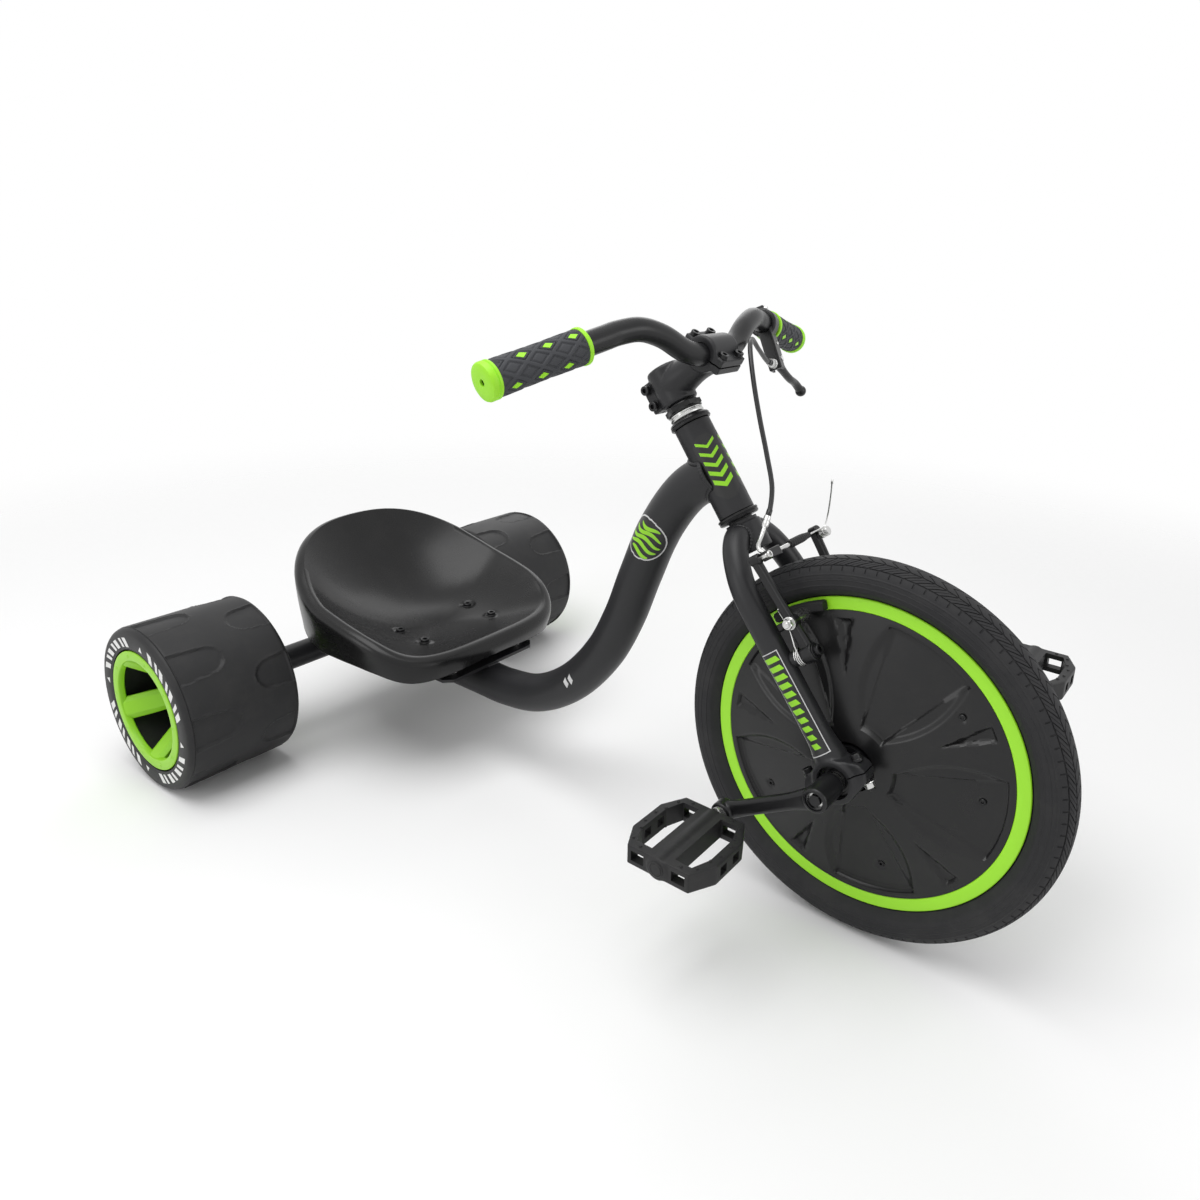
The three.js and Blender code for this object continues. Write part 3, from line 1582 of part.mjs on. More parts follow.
// Cranks and pedals on the spindle through the hub
const crankLength = 110;
const crankDrop = THREE.MathUtils.degToRad(30);
const crankClearance = 1.5;
const crankBossInner = clampOuter + crankClearance;
const spindleInset = 4;
const crankBossOuter = 106;
const crankBossRadius = 12;
const crankArmInner = 92;
const crankArmThick = 11;
const crankRootHalf = 10.5;
const crankTipHalf = 9;
const crankEyeRadius = 11;
const pedalThreadRadius = 5;
const pedalAxleRadius = 6;
const pedalCollarRadius = 8.5;
const pedalCollarWidth = 4;
const pedalInner = 115;
const pedalWidth = 90;
const pedalHalfLength = 46;
const pedalNarrowHalf = 33;
const pedalHalfThick = 10;
const pedalBarrelRadius = 11;
const pedalRail = 9;
const pedalBoreDepth = 82;
const pedalEndStand = 2;
const pedalSlotMargin = 1;

function spindle() {
  return sleeve(0, spindleRadius, -crankBossOuter + spindleInset, crankBossOuter - spindleInset, turnedSides);
}

// A crank arm made along +X on the left side.
function crankArm() {
  const boss = rod(at(0, crankBossInner, 0), at(0, crankBossOuter, 0), crankBossRadius, turnedSides);
  const eyeOuter = crankBossOuter;
  const eye = rod(at(crankLength, crankArmInner, 0), at(crankLength, eyeOuter, 0), crankEyeRadius, turnedSides);
  const outline = [
    [0, -crankRootHalf],
    [crankLength, -crankTipHalf],
    [crankLength, crankTipHalf],
    [0, crankRootHalf],
  ];
  const web = plate(outline, crankArmThick).rotateX(Math.PI / 2)
    .translate(0, crankArmInner + crankArmThick, 0);
  const spindleBore = borer(
    at(0, crankBossInner - overrun, 0),
    at(0, crankBossOuter + overrun, 0),
    spindleRadius + seatGap,
    turnedSides,
  );
  const pedalBore = borer(
    at(crankLength, crankArmInner - overrun, 0),
    at(crankLength, crankBossOuter + overrun, 0),
    pedalThreadRadius + seatGap,
    smallSides,
  );
  return cut(join(boss, eye, web), spindleBore, pedalBore);
}

function pedalAxle() {
  const collarStart = crankBossOuter + seatGap;
  return turned([
    [0, crankArmInner],
    [pedalThreadRadius, crankArmInner],
    [pedalThreadRadius, collarStart],
    [pedalCollarRadius, collarStart],
    [pedalCollarRadius, collarStart + pedalCollarWidth],
    [pedalAxleRadius, collarStart + pedalCollarWidth],
    [pedalAxleRadius, pedalInner + pedalBoreDepth - runGap - pedalSlotMargin],
    [0, pedalInner + pedalBoreDepth - runGap - pedalSlotMargin],
  ], smallSides);
}

// The pedal's platform outline and slots lie in X and Y, with the barrel along Y.
function pedal() {
  const [low, high] = [pedalInner, pedalInner + pedalWidth];
  const shoulder = pedalWidth * 0.27;
  const outline = [
    [-pedalNarrowHalf, low],
    [pedalNarrowHalf, low],
    [pedalHalfLength, low + shoulder],
    [pedalHalfLength, high - shoulder],
    [pedalNarrowHalf, high],
    [-pedalNarrowHalf, high],
    [-pedalHalfLength, high - shoulder],
    [-pedalHalfLength, low + shoulder],
  ];
  const slots = [-1, 1].map((sign) => [
    [sign * (pedalBarrelRadius + pedalSlotMargin), low + pedalRail],
    [sign * (pedalNarrowHalf - pedalRail / 3), low + pedalRail],
    [sign * (pedalHalfLength - pedalRail), low + shoulder + pedalRail / 3],
    [sign * (pedalHalfLength - pedalRail), high - shoulder - pedalRail / 3],
    [sign * (pedalNarrowHalf - pedalRail / 3), high - pedalRail],
    [sign * (pedalBarrelRadius + pedalSlotMargin), high - pedalRail],
  ]);
  const platform = piercedPlate(outline, 2 * pedalHalfThick, slots).translate(0, 0, -pedalHalfThick);
  const barrel = rod(at(0, low, 0), at(0, high + pedalEndStand, 0), pedalBarrelRadius, turnedSides);
  const bore = borer(
    at(0, low - overrun, 0),
    at(0, low + pedalBoreDepth, 0),
    pedalAxleRadius + runGap,
    smallSides,
  );
  return cut(join(platform, barrel), bore);
}

const crankset = new THREE.Group();
crankset.position.copy(frontAxle);
chassis.add(crankset);
add(crankset, 'crank_spindle', spindle(), steel);

for (const { name, sign } of sides) {
  const arm = add(crankset, `crank_arm_${name}`, toSide(crankArm(), sign), blackMetal);
  const angle = sign > 0 ? -crankDrop : Math.PI - crankDrop;
  arm.rotation.y = angle;
  const station = new THREE.Group();
  station.position.set(crankLength * Math.cos(angle), 0, -crankLength * Math.sin(angle));
  crankset.add(station);
  add(station, `pedal_axle_${name}`, toSide(pedalAxle(), sign), steel);
  add(station, `pedal_${name}`, toSide(pedal(), sign), blackPlastic);
}

export default trike;
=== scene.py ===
"""Drift trike: the looks that go on the packed model, one operator for each group of pieces."""

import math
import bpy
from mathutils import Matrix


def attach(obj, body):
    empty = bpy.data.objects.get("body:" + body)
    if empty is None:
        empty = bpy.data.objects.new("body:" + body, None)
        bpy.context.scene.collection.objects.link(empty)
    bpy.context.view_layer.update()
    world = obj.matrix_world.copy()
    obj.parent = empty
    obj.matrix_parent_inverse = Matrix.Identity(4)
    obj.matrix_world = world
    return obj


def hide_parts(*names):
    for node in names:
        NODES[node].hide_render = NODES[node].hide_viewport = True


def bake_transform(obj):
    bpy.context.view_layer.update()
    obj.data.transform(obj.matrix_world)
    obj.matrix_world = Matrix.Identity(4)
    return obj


bl_info = {
    "name": "Drift trike looks",
    "version": (1, 0, 0),
    "blender": (4, 5, 0),
    "location": "View3D > Sidebar > Drift trike",
    "description": "Dresses the packed drift trike with detailed pieces and procedural finishes",
    "category": "Object",
}

import bmesh
import bpy
from bpy.props import FloatProperty, FloatVectorProperty, IntProperty, PointerProperty
from mathutils import Matrix, Vector

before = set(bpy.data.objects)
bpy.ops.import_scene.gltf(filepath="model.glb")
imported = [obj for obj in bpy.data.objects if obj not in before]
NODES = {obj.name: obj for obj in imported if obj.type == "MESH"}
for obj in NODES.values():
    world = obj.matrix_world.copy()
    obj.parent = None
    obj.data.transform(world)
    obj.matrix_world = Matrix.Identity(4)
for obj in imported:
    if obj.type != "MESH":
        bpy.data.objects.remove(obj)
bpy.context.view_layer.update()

# Shapes are made in millimetres, and mesh_of turns them into metres.
MM = 0.001
TAU = 2 * math.pi
SIDES = (("right", -1), ("left", 1))

REAR_X = -430.7
REAR_Z = 102.6
FRONT_AXLE = Vector((338.3, 0, 195))
TILT_N = Vector((0.809017, 0, 0.587785))
TILT_U = Vector((-0.587785, 0, 0.809017))
STEER_X = -8


def frame_matrix(origin, x_axis, y_axis, z_axis):
    matrix = Matrix((x_axis, y_axis, z_axis)).transposed().to_4x4()
    matrix.translation = origin
    return matrix


def moved(x=0, y=0, z=0):
    """A matrix that only moves."""
    return Matrix.Translation((x, y, z))


# The groups of the solids: chassis, rear axle, front wheel, fork, head tube, bars, bar clamp and lever.
CHASSIS = moved(REAR_X)
REAR_AXLE = moved(REAR_X, 0, REAR_Z)
WHEEL = Matrix.Translation(FRONT_AXLE)
BAR_PLACE = Vector((52, 0, 408))
FORK = frame_matrix(FRONT_AXLE, TILT_N, Vector((0, 1, 0)), TILT_U)
HEAD = FORK @ moved(STEER_X)
BARS = Matrix.Translation(FORK @ BAR_PLACE)
BAR_CLAMP = FORK @ Matrix.Translation(BAR_PLACE) @ Matrix.Rotation(math.radians(-26), 4, "Y")
GRIP_TILT = Vector((-0.191, 0.953, -0.233)).normalized()
GRIP_START = Vector((-31, 155, 14))
LEVER = frame_matrix(
    BARS @ (GRIP_START - 13 * GRIP_TILT),
    Vector((0.4676, -0.1204, -0.8757)),
    Vector((-0.8630, -0.2764, -0.4229)),
    GRIP_TILT,
)


def along_x(x=0, y=0, z=0):
    """A matrix whose Z points along +X; the next two point theirs along +Y and -Y."""
    return frame_matrix((x, y, z), (0, 1, 0), (0, 0, 1), (1, 0, 0))


def along_y(x=0, y=0, z=0):
    return frame_matrix((x, y, z), (1, 0, 0), (0, 0, -1), (0, 1, 0))


def against_y(x=0, y=0, z=0):
    return frame_matrix((x, y, z), (1, 0, 0), (0, 0, 1), (0, -1, 0))


def polar(radius, turn, z):
    """A point at an angle round Z."""
    return Vector((radius * math.cos(turn), radius * math.sin(turn), z))


def rolled(radius, turn, y):
    """A point at an angle round a wheel's axle, from its top."""
    return Vector((radius * math.sin(turn), y, radius * math.cos(turn)))


def mirrored(sign):
    """The matrix for one side of pieces that are made on the left."""
    return Matrix.Diagonal((1, sign, 1, 1))


def smooth_step(low, high, value):
    share = min(1, max(0, (value - low) / (high - low)))
    return share * share * (3 - 2 * share)


# Sizes and colours that a user would change

class TrikeColours(bpy.types.PropertyGroup):
    """Colours of the trike's finishes."""

    frame: FloatVectorProperty(name="Frame paint", description="Charcoal of the painted steel", size=3,
                               subtype="COLOR", default=(0.015, 0.015, 0.0165), min=0, max=1)
    lime: FloatVectorProperty(name="Lime paint", description="Lime of the rim and the grips' ends", size=3,
                              subtype="COLOR", default=(0.36, 0.83, 0.022), min=0, max=1)
    hub: FloatVectorProperty(name="Lime plastic", description="Lime of the moulded rear hubs", size=3,
                             subtype="COLOR", default=(0.30, 0.66, 0.018), min=0, max=1)
    seat: FloatVectorProperty(name="Seat", description="Black of the moulded seat", size=3,
                              subtype="COLOR", default=(0.0045, 0.0045, 0.0048), min=0, max=1)
    rubber: FloatVectorProperty(name="Front tyre", description="Dark grey of the front tyre", size=3,
                                subtype="COLOR", default=(0.021, 0.021, 0.0225), min=0, max=1)
    slick: FloatVectorProperty(name="Rear tyres", description="Dark grey of the hard rear tyres", size=3,
                               subtype="COLOR", default=(0.014, 0.014, 0.0148), min=0, max=1)
    grip: FloatVectorProperty(name="Grips", description="Grey of the grip rubber", size=3,
                              subtype="COLOR", default=(0.058, 0.06, 0.066), min=0, max=1)


class TrikeTyres(bpy.types.PropertyGroup):
    """Relief of the tyres."""

    blocks: IntProperty(name="Tread blocks", description="Blocks around the front tyre", default=104, min=40,
                        max=160, subtype="UNSIGNED")
    groove: FloatProperty(name="Groove depth", description="Depth of the front tyre's grooves",
                          default=0.0009, min=0, max=0.003, unit="LENGTH")
    recesses: IntProperty(name="Recesses", description="Recesses around each edge of a rear tyre", default=8,
                          min=3, max=16, subtype="UNSIGNED")
    recess: FloatProperty(name="Recess depth", description="Depth of the rear tyres' recesses",
                          default=0.0022, min=0, max=0.004, unit="LENGTH")


class TrikeMouldings(bpy.types.PropertyGroup):
    """Relief of the wheel covers, the seat and the grips."""

    panel: FloatProperty(name="Panel depth", description="Depth of the wheel covers' wedge panels",
                         default=0.0052, min=0, max=0.008, unit="LENGTH")
    notch: FloatProperty(name="Notch depth", description="Depth of the small notches between panels",
                         default=0.004, min=0, max=0.006, unit="LENGTH")
    dimple: FloatProperty(name="Seat bolt dimple", description="Radius of the dimple round each seat bolt",
                          default=0.011, min=0.008, max=0.016, unit="LENGTH")
    strap: FloatProperty(name="Grip relief", description="Height of the grips' crossed straps",
                         default=0.0012, min=0, max=0.002, unit="LENGTH")


class TrikeStudio(bpy.types.PropertyGroup):
    """Light and floor of the studio."""

    key: FloatProperty(name="Key light", description="Power of the overhead panel", default=42, min=0,
                       max=200, unit="POWER")
    fill: FloatProperty(name="Side lights", description="Power of each side panel", default=13, min=0,
                        max=200, unit="POWER")
    room: FloatProperty(name="Room light", description="Strength of the even light from all round",
                        default=0.5, min=0, max=2, subtype="FACTOR")
    reach: FloatProperty(name="Floor reach", description="How far from the trike the floor fades out",
                         default=2.2, min=1, max=4, unit="LENGTH")
    floor: FloatVectorProperty(name="Floor", description="Colour of the floor", size=3, subtype="COLOR",
                               default=(0.95, 0.95, 0.95), min=0, max=1)


# Materials

def place(tree, kind, values=None, **settings):
    """Places a node; each value is a number for a socket or another node's output."""
    node = tree.nodes.new(kind)
    for key, value in settings.items():
        setattr(node, key, value)
    for key, value in (values or {}).items():
        if isinstance(value, bpy.types.NodeSocket):
            tree.links.new(value, node.inputs[key])
        else:
            node.inputs[key].default_value = value
    return node


def new_group(name, inputs, outputs):
    """A shader node group with named sockets, and its inner input and output sockets."""
    tree = bpy.data.node_groups.new(name, "ShaderNodeTree")
    for label, default in inputs:
        kind = "NodeSocketColor" if isinstance(default, tuple) else "NodeSocketFloat"
        tree.interface.new_socket(name=label, in_out="INPUT", socket_type=kind).default_value = default
    for label, kind in outputs:
        tree.interface.new_socket(name=label, in_out="OUTPUT", socket_type=kind)
    return tree, tree.nodes.new("NodeGroupInput").outputs, tree.nodes.new("NodeGroupOutput").inputs


def calc(tree, operation, first, second=0.0, third=0.0):
    values = {0: first, 1: second}
    if operation == "MULTIPLY_ADD":
        values[2] = third
    return place(tree, "ShaderNodeMath", values, operation=operation).outputs[0]


def noise(tree, where, scale, detail, roughness=0.5):
    values = {"Vector": where, "Scale": scale, "Detail": detail, "Roughness": roughness}
    return place(tree, "ShaderNodeTexNoise", values).outputs["Fac"]


def between(tree, value, low, high):
    """A value brought from low and high to nought and one."""
    return place(tree, "ShaderNodeMapRange", {"Value": value, "From Min": low, "From Max": high}).outputs[0]


def mixed_colours(tree, factor, first, second):
    values = {"Factor": factor, "A": first, "B": (*second, 1)}
    return place(tree, "ShaderNodeMix", values, data_type="RGBA").outputs["Result"]


def drift_group():
    """Slow changes of colour and gloss over a surface, with fine specks."""
    tree, ins, outs = new_group(
        "Colour drift",
        [("Colour", (0.5, 0.5, 0.5, 1)), ("Roughness", 0.5), ("Amount", 0.15), ("Size", 12.0)],
        [("Colour", "NodeSocketColor"), ("Roughness", "NodeSocketFloat")],
    )
    where = place(tree, "ShaderNodeTexCoord").outputs["Object"]
    slow = noise(tree, where, ins["Size"], 5.0, 0.6)
    fine = noise(tree, where, 900.0, 2.0)
    both = calc(tree, "MULTIPLY_ADD", fine, 0.25, calc(tree, "MULTIPLY", slow, 0.75))
    centred = calc(tree, "SUBTRACT", both, 0.5)
    shade = calc(tree, "MULTIPLY_ADD", centred, calc(tree, "MULTIPLY", ins["Amount"], 2.0), 1.0)
    colour = place(tree, "ShaderNodeVectorMath", {0: ins["Colour"], "Scale": shade}, operation="SCALE")
    tree.links.new(colour.outputs[0], outs["Colour"])
    tree.links.new(calc(tree, "MULTIPLY_ADD", centred, ins["Amount"], ins["Roughness"]), outs["Roughness"])
    return tree


def grain_group():
    """Height of a moulded or sprayed surface: the cells of a grain over a soft unevenness."""
    tree, ins, outs = new_group("Surface grain", [("Grain size", 600.0), ("Grain", 0.5), ("Swell", 0.5)],
                                [("Height", "NodeSocketFloat")])
    where = place(tree, "ShaderNodeTexCoord").outputs["Object"]
    cells = noise(tree, where, ins["Grain size"], 3.0)
    wide = calc(tree, "MULTIPLY", noise(tree, where, 45.0, 1.0), ins["Swell"])
    tree.links.new(calc(tree, "MULTIPLY_ADD", cells, ins["Grain"], wide), outs["Height"])
    return tree


def wear_group():
    """Where a surface is scuffed: thin stretched scratches inside worn patches."""
    tree, ins, outs = new_group("Scuffs", [("Amount", 0.3), ("Patch size", 14.0)],
                                [("Mask", "NodeSocketFloat")])
    where = place(tree, "ShaderNodeTexCoord").outputs["Object"]
    turned = place(tree, "ShaderNodeMapping",
                   {"Vector": where, "Rotation": (0.5, 0.9, 0.4), "Scale": (1.0, 14.0, 14.0)})
    lines = between(tree, noise(tree, turned.outputs[0], 55.0, 2.0), 0.62, 0.68)
    spots = between(tree, noise(tree, where, ins["Patch size"], 4.0), 0.5, 0.66)
    both = calc(tree, "MULTIPLY", lines, spots)
    tree.links.new(calc(tree, "MULTIPLY", both, ins["Amount"]), outs["Mask"])
    return tree


def dust_group():
    """Thin dust in the low places of a slow noise, for rubber and ground plastic."""
    tree, ins, outs = new_group("Dust", [("Colour", (0.5, 0.5, 0.5, 1)), ("Amount", 0.1)],
                                [("Colour", "NodeSocketColor")])
    where = place(tree, "ShaderNodeTexCoord").outputs["Object"]
    spread = between(tree, noise(tree, where, 26.0, 6.0, 0.65), 0.45, 0.75)
    much = calc(tree, "MULTIPLY", spread, ins["Amount"])
    tree.links.new(mixed_colours(tree, much, ins["Colour"], (0.2, 0.19, 0.175)), outs["Colour"])
    return tree


GROUPS = {}
FINISHES = {}


def finish(name, colour, roughness, drift=0.12, grain_size=600.0, grain=0.5, swell=0.4, bump=0.1,
           scuffs=0.2, scuff_colour=None, dust=0.0, metallic=0.0, specular=0.5):
    """Makes one finish: its own Principled shader, fed by the shared groups with its own values."""
    material = bpy.data.materials.new(name)
    material.use_nodes = True
    tree = material.node_tree
    shader = tree.nodes["Principled BSDF"].inputs
    shader["Metallic"].default_value = metallic
    shader["Specular IOR Level"].default_value = specular

    def group(kind, **values):
        return place(tree, "ShaderNodeGroup", {key.replace("_", " "): value for key, value in values.items()},
                     node_tree=GROUPS[kind]).outputs

    varied = group("drift", Colour=(*colour, 1), Roughness=roughness, Amount=drift)
    worn = group("wear", Amount=scuffs)["Mask"]
    scuffed = scuff_colour or tuple(min(1, c * 1.6 + 0.02) for c in colour)
    base = mixed_colours(tree, worn, varied["Colour"], scuffed)
    if dust:
        base = group("dust", Colour=base, Amount=dust)["Colour"]
    tree.links.new(base, shader["Base Color"])
    tree.links.new(calc(tree, "MULTIPLY_ADD", worn, 0.3, varied["Roughness"]), shader["Roughness"])
    height = group("grain", Grain_size=grain_size, Grain=grain, Swell=swell)[0]
    relief = place(tree, "ShaderNodeBump", {"Height": height, "Strength": bump, "Distance": 0.0002})
    tree.links.new(relief.outputs[0], shader["Normal"])
    FINISHES[name] = material


def make_finishes(colours):
    """Makes every finish."""
    GROUPS.update(drift=drift_group(), grain=grain_group(), wear=wear_group(), dust=dust_group())
    black = (0.007, 0.007, 0.0078)
    rubbed = (0.05, 0.05, 0.05)
    finish("frame_paint", colours.frame, 0.4, drift=0.1, grain_size=900, grain=0.6, swell=0.5, bump=0.16,
           scuffs=0.08, specular=0.34)
    finish("seat_shell", colours.seat, 0.27, grain_size=1500, grain=0.4, scuffs=0.1, dust=0.02, specular=0.32)
    finish("black_metal", black, 0.32, grain_size=1200, bump=0.12, scuffs=0.12, specular=0.36)
    finish("rim_paint", colours.lime, 0.42, drift=0.05, bump=0.06, scuffs=0.06)
    finish("lime_plastic", colours.hub, 0.42, drift=0.06, grain_size=1600, scuffs=0.1)
    finish("front_tread", colours.rubber, 0.66, drift=0.2, grain_size=1400, grain=0.8, bump=0.25, scuffs=0.25,
           scuff_colour=rubbed, dust=0.06, specular=0.25)
    finish("rear_tread", colours.slick, 0.5, drift=0.18, grain_size=1100, grain=0.6, bump=0.2, scuffs=0.3,
           scuff_colour=(0.04, 0.04, 0.04), dust=0.04, specular=0.3)
    finish("cover_plastic", (0.008, 0.008, 0.0085), 0.29, grain_size=1300, scuffs=0.1, dust=0.02,
           specular=0.36)
    finish("pedal_plastic", (0.011, 0.011, 0.0118), 0.5, drift=0.18, grain_size=1000, grain=0.7, bump=0.22,
           scuffs=0.3, scuff_colour=rubbed, dust=0.05, specular=0.32)
    finish("grip_rubber", colours.grip, 0.66, drift=0.15, grain_size=1700, grain=0.8, bump=0.2, scuffs=0.1,
           specular=0.25)
    finish("soft_black", (0.012, 0.012, 0.0125), 0.6, bump=0.15, specular=0.3)
    finish("cable_jacket", black, 0.36, scuffs=0.1)
    finish("bright_steel", (0.6, 0.6, 0.59), 0.27, drift=0.04, grain=0.1, swell=0.2, bump=0.02, scuffs=0.08,
           scuff_colour=(0.45, 0.45, 0.44), metallic=1.0)
    finish("grip_lime", colours.lime, 0.5, drift=0.05, grain_size=1700, bump=0.12,
           scuffs=0.08)
    finish("white_print", (0.78, 0.78, 0.77), 0.5, drift=0.05, bump=0.08, scuffs=0.25,
           scuff_colour=(0.4, 0.4, 0.39))
    finish("lime_print", (0.28, 0.66, 0.016), 0.4, drift=0.08, scuffs=0.1)
    finish("pale_print", (0.6, 0.6, 0.6), 0.45, drift=0.05, scuffs=0.1)
    finish("dark_print", (0.006, 0.006, 0.006), 0.38, drift=0.05, scuffs=0.05)


# Shapes

# The turned profiles of solid pieces begin this far from the axis.
CORE = 0.001


def rounded(points, per=6):
    """A centripetal curve through the points, the kind that the solids' tubes follow."""
    points = [Vector(p) for p in points]
    count = len(points)
    result = []
    for i in range(count - 1):
        p1, p2 = points[i], points[i + 1]
        p0 = points[i - 1] if i else 2 * p1 - p2
        p3 = points[i + 2] if i + 2 < count else 2 * p2 - p1
        t1 = math.sqrt((p1 - p0).length)
        t2 = t1 + math.sqrt((p2 - p1).length)
        t3 = t2 + math.sqrt((p3 - p2).length)
        for k in range(per):
            t = t1 + (t2 - t1) * k / per
            a1 = p0 * ((t1 - t) / t1) + p1 * (t / t1)
            a2 = p1 * ((t2 - t) / (t2 - t1)) + p2 * ((t - t1) / (t2 - t1))
            a3 = p2 * ((t3 - t) / (t3 - t2)) + p3 * ((t - t2) / (t3 - t2))
            b1 = a1 * ((t2 - t) / t2) + a2 * (t / t2)
            b2 = a2 * ((t3 - t) / (t3 - t1)) + a3 * ((t - t1) / (t3 - t1))
            result.append(b1 * ((t2 - t) / (t2 - t1)) + b2 * ((t - t1) / (t2 - t1)))
    result.append(points[-1].copy())
    return result


def carried(path, hint=None):
    """Each path point with two directions across it, carried along without twist."""
    path = [Vector(p) for p in path]
    result = []
    side = None
    for i, point in enumerate(path):
        ahead = (path[min(i + 1, len(path) - 1)] - path[max(i - 1, 0)]).normalized()
        if side is None:
            up = Vector(hint) if hint else (Vector((0, 0, 1)) if abs(ahead.z) < 0.9 else Vector((1, 0, 0)))
            side = ahead.cross(up).normalized()
        side = (side - ahead * side.dot(ahead)).normalized()
        result.append((point, side, ahead.cross(side)))
    return result


class Shape:
    """Collects the points and faces of one piece, in millimetres."""

    def __init__(self):
        self.points = []
        self.faces = []

    def grid(self, rows, wrap_rows=False, wrap_points=True):
        """Quads over rows of points; each row closes on itself when wrap_points is true."""
        first, width = len(self.points), len(rows[0])
        for row in rows:
            self.points.extend(row)
        for r in range(len(rows) if wrap_rows else len(rows) - 1):
            low = first + r * width
            high = first + ((r + 1) % len(rows)) * width
            for c in range(width if wrap_points else width - 1):
                n = (c + 1) % width
                self.faces.append((low + c, low + n, high + n, high + c))
        return self

    def cap(self, ring):
        """Closes a ring of points with one face."""
        first = len(self.points)
        self.points.extend(ring)
        self.faces.append(tuple(range(first, first + len(ring))))
        return self

    def lathe(self, profile, steps, frame=None, closed=True):
        """Turns a profile of (radius, height) about Z; a closed one is the section of a ring."""
        rows = []
        for i in range(steps):
            c, s = math.cos(TAU * i / steps), math.sin(TAU * i / steps)
            row = [Vector((r * c, r * s, z)) for r, z in profile]
            rows.append([frame @ p for p in row] if frame else row)
        return self.grid(rows, wrap_rows=True, wrap_points=closed)

    def wheel(self, profile, steps, side=1):
        """Turns a closed profile of (radius, across) about Y."""
        rows = []
        for i in range(steps):
            c, s = math.cos(TAU * i / steps), math.sin(TAU * i / steps)
            rows.append([Vector((r * s, y * side, r * c)) for r, y in profile])
        return self.grid(rows, wrap_rows=True)

    def tube(self, path, radius, sides=16, ovals=(1, 1), hint=None):
        """Sweeps a round or oval section along a path; radius may be a list, one for each point."""
        radii = radius if isinstance(radius, (list, tuple)) else [radius] * len(path)
        rows = []
        for (p, side, over), r in zip(carried(path, hint), radii):
            rows.append([p + side * (r * ovals[0] * math.cos(TAU * k / sides))
                         + over * (r * ovals[1] * math.sin(TAU * k / sides)) for k in range(sides)])
        return self.grid(rows).cap(rows[0]).cap(rows[-1])

    def slab(self, outline, low, high, place_point=None):
        """A closed outline of (x, y) raised from low to high."""
        place_point = place_point or (lambda x, y, z: Vector((x, y, z)))
        rings = [[place_point(x, y, z) for x, y in outline] for z in (low, high)]
        return self.grid(rings).cap(rings[0]).cap(rings[1])

    def add(self, other, frame=None):
        """Adds another shape, moved by a matrix."""
        first = len(self.points)
        self.points += [frame @ Vector(p) if frame else Vector(p) for p in other.points]
        self.faces += [tuple(first + i for i in face) for face in other.faces]
        return self


def rod(radius, low, high):
    """The profile of a plain turned rod, from the axis out."""
    return [(CORE, low), (radius, low), (radius, high), (CORE, high)]


def oblong(left, right, low, high):
    return [(left, low), (right, low), (right, high), (left, high)]


def disc(radius, low, high, edge=0.4):
    """The profile of a plain turned disc with small bevels, from the axis out."""
    return [(CORE, low), (radius - edge, low), (radius, low + edge), (radius, high - edge),
            (radius - edge, high), (CORE, high)]


def ring(inner, outer, low, high, edge=0.4):
    return [(inner, low), (outer - edge, low), (outer, low + edge), (outer, high - edge),
            (outer - edge, high), (inner, high)]


def along(start, end, hint=None):
    """A matrix whose Z runs from start to end, with its origin at start."""
    start, end = Vector(start), Vector(end)
    z = (end - start).normalized()
    up = Vector(hint) if hint else (Vector((0, 0, 1)) if abs(z.z) < 0.9 else Vector((1, 0, 0)))
    x = up.cross(z).normalized()
    return frame_matrix(start, x, z.cross(x), z)


def hexagon_head(corner, height):
    """A hexagon bolt head or nut with its corners turned down, standing on z = 0."""
    flat = corner * math.cos(math.pi / 6)
    shape = Shape()
    rings = []
    for z, keep in ((0, 0.97), (0.6, 1), (height - 0.9, 1), (height, 0.9)):
        row = []
        for i in range(48):
            angle = TAU * i / 48
            reach = flat / math.cos((angle + math.pi / 6) % (math.pi / 3) - math.pi / 6)
            limit = flat + (corner - flat) * (1 if keep == 1 else 0.1)
            r = min(reach, limit) * (1 if keep == 1 else keep + 0.05)
            row.append(polar(r, angle, z))
        rings.append(row)
    return shape.grid(rings).cap(rings[0]).cap(rings[-1])


def socket_head(radius, height, key=None):
    """A round cap-screw head with a hexagon socket sunk in its top, standing on z = 0."""
    key = key or radius * 0.55
    shape = Shape()
    rows = []
    steps = 36
    for r, z, kind in ((radius, 0, 0), (radius, height - 0.5, 0), (radius - 0.5, height, 0),
                       (key * 1.12, height, 0), (key, height - 0.25, 1), (key, height - radius * 0.6, 1)):
        row = []
        for i in range(steps):
            angle = TAU * i / steps
            hexed = math.cos(math.pi / 6) / math.cos((angle + math.pi / 6) % (math.pi / 3) - math.pi / 6)
            reach = r * hexed if kind else r
            row.append(polar(reach, angle, z))
        rows.append(row)
    return shape.grid(rows).cap(rows[0]).cap(rows[-1])


def finish_mesh(piece, mesh, look, body, stands_for, sharp, bevel):
    mesh.shade_smooth()
    mesh.set_sharp_from_angle(angle=math.radians(sharp))
    if bevel:
        soften(piece, bevel, sharp)
    mesh.materials.clear()
    mesh.materials.append(FINISHES[look])
    if body:
        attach(piece, body)
    if stands_for:
        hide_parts(*stands_for)
    return piece


def soften(piece, width, angle=30):
    edge = piece.modifiers.new("rounded edges", "BEVEL")
    edge.width = width * MM
    edge.segments = 2
    edge.limit_method = "ANGLE"
    edge.angle_limit = math.radians(angle)


